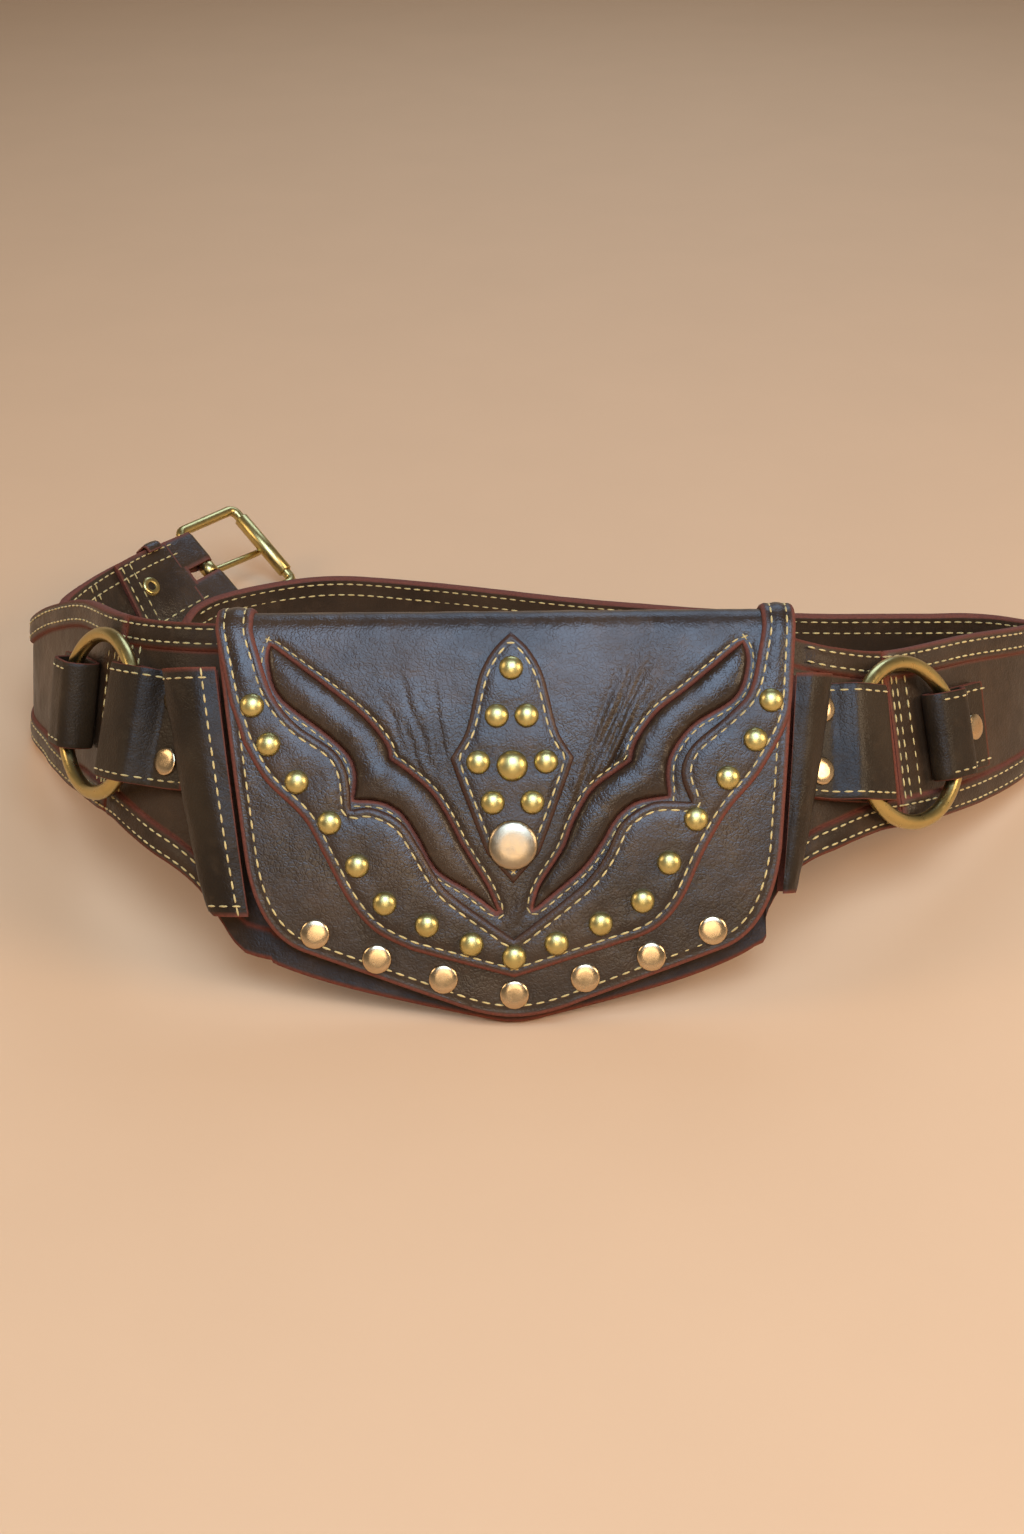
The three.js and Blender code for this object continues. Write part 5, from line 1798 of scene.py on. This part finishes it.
class BELT_OT_studs(PieceOperator, bpy.types.Operator):
    """Makes the domed studs, the flat rivets and the snap's cap"""

    bl_idname = "belt.studs"
    bl_label = "Studs and rivets"

    def execute(self, context):
        over = CLEARANCE + OVERLAY_THICK - STUD_SINK
        self.on_flap("yoke_domes", nodes_like("yoke_stud"), over, dome_profile(*DOME), "stud")
        self.on_flap("patch_domes", nodes_like("patch_stud"), over, dome_profile(*DOME), "stud")
        self.on_flap("large_dome", ["patch_dome"], over, dome_profile(*BIG_DOME), "stud")
        self.on_flap("snap_button", ["snap_cap"], over, flat_profile(*SNAP_CAP), "pale", brass("cap"))
        flat = flat_profile(*FLAT_RIVET)
        self.on_flap("border_rivets", nodes_like("border_rivet"), -STUD_SINK, flat, "pale")
        points = []
        ups = []
        proud = TAB_SEAT + 2 * TAB_THICK + CLEARANCE - TAB_RIVET_SINK
        for form in SIDES:
            for _, shape, away in TABS:
                reach = form["sign"] * away
                seat = wire_over(form, reach)[0] + reach * TAB_RIVET_REACH
                at, _, up, out = frame_at(seat)
                for height in shape["rivets"]:
                    points.append(at + up * (height - form["drop"]) + out * proud)
                    ups.append(out)
        nodes = nodes_like("tab_rivet")
        self.place("tab_rivets", nodes, np.array(points), np.array(ups), flat, "pale")
        under = -BAND_THICK - FOLD_THICK
        seat = band_row([BUCKLE_END + EYELET["reach"]], EYELET["height"], under, -1)
        size = EYELET["radius"], EYELET["rise"]
        self.place("eyelet", [], *seat, eyelet_profile(*size), "ring")
        self.place("eyelet_hole", [], *seat, plug_profile(*size), "ring", leather("dark"))
        return {"FINISHED"}

    def on_flap(self, name, nodes, lift, profile, kind, material=None):
        seats = stud_seats(nodes)
        self.place(name, nodes, on_flap(seats, lift), flap_out(seats), profile, kind, material)

    def place(self, name, nodes, points, ups, profile, kind, material=None):
        material = material or brass(kind)
        shape = make_piece(f"{name}_shape", revolve(profile), material)
        values = {"Stud": shape, "Material": material}
        piece = spread(name, points, ups, [], stud_tree, values)
        bpy.data.objects.remove(shape)
        stands_for(piece, f"{kind}_brass", *nodes)


class BELT_OT_buckle(PieceOperator, bpy.types.Operator):
    """Makes the buckle's frame, prong and roller"""

    bl_idname = "belt.buckle"
    bl_label = "Buckle"

    def execute(self, context):
        self.frame()
        self.prong()
        self.roller()
        return {"FINISHED"}

    def place(self, points):
        """Points from the heel bar's frame: away from the strap, along the bar, towards the inner side."""
        at, along, up, out = frame_at(BUCKLE_END)
        axes = np.stack([-along, up, -out])
        return np.asarray(points, float) @ axes + at - BAND_THICK / 2 * out

    def turn(self, vectors):
        return self.place(vectors) - self.place((0, 0, 0))

    def frame(self):
        corners = (
            (FRAME_LENGTH - FRAME_CORNER, -FRAME_HALF + FRAME_CORNER, -90),
            (FRAME_LENGTH - FRAME_CORNER, FRAME_HALF - FRAME_CORNER, 0),
            (FRAME_CORNER, FRAME_HALF - FRAME_CORNER, 90),
            (FRAME_CORNER, -FRAME_HALF + FRAME_CORNER, 180),
        )
        path = []
        for x, y, start in corners:
            turn = np.radians(start + np.linspace(0, 90, 9))
            path += [(x + FRAME_CORNER * math.cos(a), y + FRAME_CORNER * math.sin(a), 0) for a in turn]
        across = self.turn(np.tile((0.0, 0.0, 1.0), (len(path), 1)))
        solid = tube(self.place(path), across, BAR_RADIUS, True)
        piece = make_piece("buckle_frame_brass", solid, brass("ring"))
        stands_for(piece, "ring_brass", "buckle_frame", body="frame")

    def ring(self, centre, inner, outer, half, sides=32):
        """A short pipe round an axis along the heel bar."""
        bevel = min(0.4, (outer - inner) / 3)
        turn = np.linspace(0, 2 * math.pi, sides, endpoint=False)
        section = (
            (inner, -half + bevel), (inner + bevel, -half), (outer - bevel, -half), (outer, -half + bevel),
            (outer, half - bevel), (outer - bevel, half), (inner + bevel, half), (inner, half - bevel),
        )
        rings = np.array(
            [[(centre + r * math.cos(a), h, r * math.sin(a)) for r, h in section] for a in turn]
        )
        return outward(self.place(rings.reshape(-1, 3)), bar_faces(sides, len(section), True))

    def prong(self):
        rest = -(ROLLER["outer"] + CLEARANCE + PRONG["finger"])
        turns = (
            (1.5, -PRONG["collar"] + 1),
            (8, -PRONG["collar"]),
            (FRAME_LENGTH - 4, rest),
            (FRAME_LENGTH + 3, rest),
        )
        line = resample(spline(turns, 8), 1.5)
        path = self.place(np.stack([line[:, 0], 0 * line[:, 0], line[:, 1]], 1))
        reach = np.linspace(0, 1, len(path))
        radius = PRONG["finger"] * (1 - 0.15 * reach)
        radius[-3:] *= (0.95, 0.8, 0.45)
        across = np.tile(self.turn((0.0, 1.0, 0.0)), (len(path), 1))
        finger = tube(path, across, radius, False)
        collar = self.ring(0, HEEL_BORE, PRONG["collar"], PRONG["width"] / 2)
        piece = make_piece("buckle_prong_brass", together(finger, collar), brass("ring"))
        stands_for(piece, "ring_brass", "buckle_prong", body="prong")

    def roller(self):
        solid = self.ring(FRAME_LENGTH, ROLLER["inner"], ROLLER["outer"], ROLLER["half"])
        piece = make_piece("buckle_roller_brass", solid, brass("ring"))
        stands_for(piece, "ring_brass", "buckle_roller", body="roller")


# Stage


TABLE = (-1.4, -1.2, 1.4, 1.8)  # its left, front, right and back edges
LIGHT_TARGET = (0.0, -0.05, 0.05)
# Area lights: name, place, width and height, setting that has the colour
LIGHTS = (
    ("sky", (0.1, -0.87, 1.36), (1.0, 1.0), "sky_colour"),
    ("front", (0.05, -1.68, 0.8), (0.8, 0.6), "front_colour"),
    ("left", (-1.2, -0.3, 0.9), (0.5, 0.5), "front_colour"),
    ("right", (1.2, -0.6, 0.8), (0.6, 0.6), "front_colour"),
    ("back", (0.2, 1.2, 1.2), (0.9, 0.9), "sky_colour"),
)


class BELT_OT_stage(PieceOperator, bpy.types.Operator):
    """Makes the table, the lights and the camera"""

    bl_idname = "belt.stage"
    bl_label = "Stage"

    def execute(self, context):
        stage = context.scene.belt_stage
        self.floor(stage)
        self.camera(context.scene, stage)
        for name, place, size, tone in LIGHTS:
            self.light(name, place, size, getattr(stage, f"{name}_power"), getattr(stage, tone))
        self.room(context.scene, stage)
        context.scene.view_settings.view_transform = "Standard"
        return {"FINISHED"}

    def room(self, scene, stage):
        """Soft light all round, brighter near the table's level."""
        world = bpy.data.worlds.new("Soft room")
        world.use_nodes = True
        tree = world.node_tree
        ahead = add_node(tree, "ShaderNodeTexCoord").outputs["Generated"]
        height = add_node(tree, "ShaderNodeSeparateXYZ", {0: ahead}).outputs["Z"]
        share = ramp(tree, height, 0.02, 0.3)
        colour = blend(tree, share, opaque(stage.horizon_colour), opaque(stage.room_colour))
        tree.links.new(colour, tree.nodes["Background"].inputs["Color"])
        scene.world = world

    def floor(self, stage):
        left, front, right, back = TABLE
        corners = [(left, front, 0), (right, front, 0), (right, back, 0), (left, back, 0)]
        mesh = bpy.data.meshes.new("table")
        mesh.from_pydata(corners, [], [(0, 1, 2, 3)])
        mesh.materials.append(floor_material("pale_table", stage.floor_colour))
        table = add_object("table", mesh)

    def camera(self, scene, stage):
        data = bpy.data.cameras.new("camera")
        data.sensor_fit = "HORIZONTAL"
        data.sensor_width = 36.0
        data.lens = stage.lens
        camera = add_object("camera", data)
        level = math.cos(stage.pitch)
        ahead = Vector((math.sin(stage.yaw) * level, math.cos(stage.yaw) * level, -math.sin(stage.pitch)))
        right = ahead.cross(Vector((0, 0, 1))).normalized()
        up = right.cross(ahead)
        side = right * math.cos(stage.roll) + up * math.sin(stage.roll)
        top = up * math.cos(stage.roll) - right * math.sin(stage.roll)
        turn = Matrix((side, top, -ahead)).transposed().to_4x4()
        camera.matrix_world = Matrix.Translation(stage.camera) @ turn
        scene.camera = camera

    def light(self, name, place, size, power, colour):
        data = bpy.data.lights.new(name, "AREA")
        data.shape = "RECTANGLE"
        data.size, data.size_y = size
        data.energy = power
        data.color = colour
        light = add_object(name, data)
        light.location = place
        light.rotation_mode = "QUATERNION"
        light.rotation_quaternion = (Vector(LIGHT_TARGET) - Vector(place)).to_track_quat("-Z", "Y")


# Settings


def length(name, description, default):
    return bpy.props.FloatProperty(
        name=name, description=description, default=default, min=0.0,
        unit="LENGTH", subtype="DISTANCE", precision=5,
    )


def colour(name, description, default):
    return bpy.props.FloatVectorProperty(
        name=name, description=description, default=default, size=3, min=0.0, max=1.0, subtype="COLOR"
    )


def angle(name, description, degrees):
    return bpy.props.FloatProperty(
        name=name, description=description, default=math.radians(degrees), unit="ROTATION", subtype="ANGLE"
    )


def power(name, description, default):
    return bpy.props.FloatProperty(
        name=name, description=description, default=default, min=0.0, subtype="POWER"
    )


class BeltSizes(bpy.types.PropertyGroup):
    stitch_pitch: length("Stitch pitch", "Distance from one stitch to the next", 0.0043)
    stitch_length: length("Stitch length", "Length of one stitch", 0.0033)
    stitch_width: length("Stitch width", "Thickness of the thread", 0.00075)


class BeltColours(bpy.types.PropertyGroup):
    dark: colour("Dark leather", "Main leather's darker tone", (0.025, 0.0128, 0.0061))
    dark_light: colour("Dark leather, lighter", "Main leather's lighter tone", (0.050, 0.0265, 0.0129))
    # The brown tones are the gussets' and tabs' own colour and, on the pouch's front wall, painted shade
    brown: colour("Brown leather", "Pouch leather's darker tone", (0.0165, 0.0090, 0.0040))
    brown_light: colour("Brown leather, lighter", "Pouch leather's lighter tone", (0.033, 0.0190, 0.0086))
    raw: colour("Raw edge", "Cut edges of the leather", (0.15, 0.036, 0.017))
    thread: colour("Thread", "Waxed thread", (0.68, 0.49, 0.18))
    stud: colour("Domes", "Brass of the domed studs", (0.58, 0.48, 0.19))
    stud_tarnish: colour("Dome tarnish", "Tarnish of the domed studs", (0.45, 0.345, 0.12))
    pale: colour("Rivets", "Brass of the flat rivets", (0.60, 0.45, 0.275))
    pale_tarnish: colour("Rivet tarnish", "Tarnish of the flat rivets", (0.46, 0.32, 0.18))
    cap: colour("Cap", "Brass of the snap's cap", (0.42, 0.33, 0.22))
    ring: colour("Rings", "Brass of the rings and the buckle", (0.56, 0.43, 0.17))
    ring_tarnish: colour("Ring tarnish", "Tarnish of the rings and the buckle", (0.40, 0.30, 0.11))


class BeltStage(bpy.types.PropertyGroup):
    camera: bpy.props.FloatVectorProperty(
        name="Camera", description="Place of the camera", default=(-0.0091, -0.7026, 0.4333),
        size=3, unit="LENGTH", subtype="TRANSLATION",
    )
    pitch: angle("Pitch", "How far the camera looks down", 32.0)
    yaw: angle("Yaw", "How far the camera looks to the right", -0.03)
    roll: angle("Roll", "Turn of the camera about its view", -0.6)
    lens: bpy.props.FloatProperty(name="Lens", description="Focal length in millimetres", default=70.31)
    sky_power: power("Sky light", "Power of the large light above", 26.0)
    sky_colour: colour("Sky colour", "Colour of the lights above and behind", (0.47, 0.69, 1.0))
    front_power: power("Front light", "Power of the low light in front", 5.5)
    front_colour: colour("Front colour", "Colour of the front and side lights", (1.0, 0.76, 0.50))
    left_power: power("Left light", "Power of the light on the left", 4.0)
    right_power: power("Right light", "Power of the light on the right", 10.0)
    back_power: power("Back light", "Power of the light behind", 8.0)
    room_colour: colour("Room", "Soft light from above", (0.155, 0.13, 0.10))
    horizon_colour: colour("Horizon", "Soft light from the table's level", (0.60, 0.47, 0.35))
    floor_colour: colour("Table", "Colour of the table", (0.765, 0.463, 0.252))


OPERATORS = (
    BELT_OT_stage,
    BELT_OT_flap,
    BELT_OT_overlays,
    BELT_OT_wing_pads,
    BELT_OT_pouch,
    BELT_OT_band,
    BELT_OT_tabs,
    BELT_OT_rings,
    BELT_OT_studs,
    BELT_OT_buckle,
)
GROUPS = (("belt_sizes", BeltSizes), ("belt_colours", BeltColours), ("belt_stage", BeltStage))


class BELT_PT_panel(bpy.types.Panel):
    """Lists the belt's pieces"""

    bl_label = "Hip Belt"
    bl_idname = "BELT_PT_panel"
    bl_space_type = "VIEW_3D"
    bl_region_type = "UI"
    bl_category = "Hip Belt"

    def draw(self, context):
        for operator in OPERATORS:
            self.layout.operator(operator.bl_idname)
        for name, group in GROUPS:
            for key in group.__annotations__:
                self.layout.prop(getattr(context.scene, name), key)


CLASSES = (*(group for _, group in GROUPS), *OPERATORS, BELT_PT_panel)


def register():
    for item in CLASSES:
        bpy.utils.register_class(item)
    for name, group in GROUPS:
        setattr(bpy.types.Scene, name, bpy.props.PointerProperty(type=group))


def unregister():
    for name, _ in GROUPS:
        delattr(bpy.types.Scene, name)
    for item in reversed(CLASSES):
        bpy.utils.unregister_class(item)


def main():
    register()
    bpy.ops.belt.stage()
    bpy.ops.belt.flap()
    bpy.ops.belt.overlays()
    bpy.ops.belt.wing_pads()
    bpy.ops.belt.pouch()
    bpy.ops.belt.band()
    bpy.ops.belt.tabs()
    bpy.ops.belt.rings()
    bpy.ops.belt.studs()
    bpy.ops.belt.buckle()


if __name__ == "__main__":
    main()
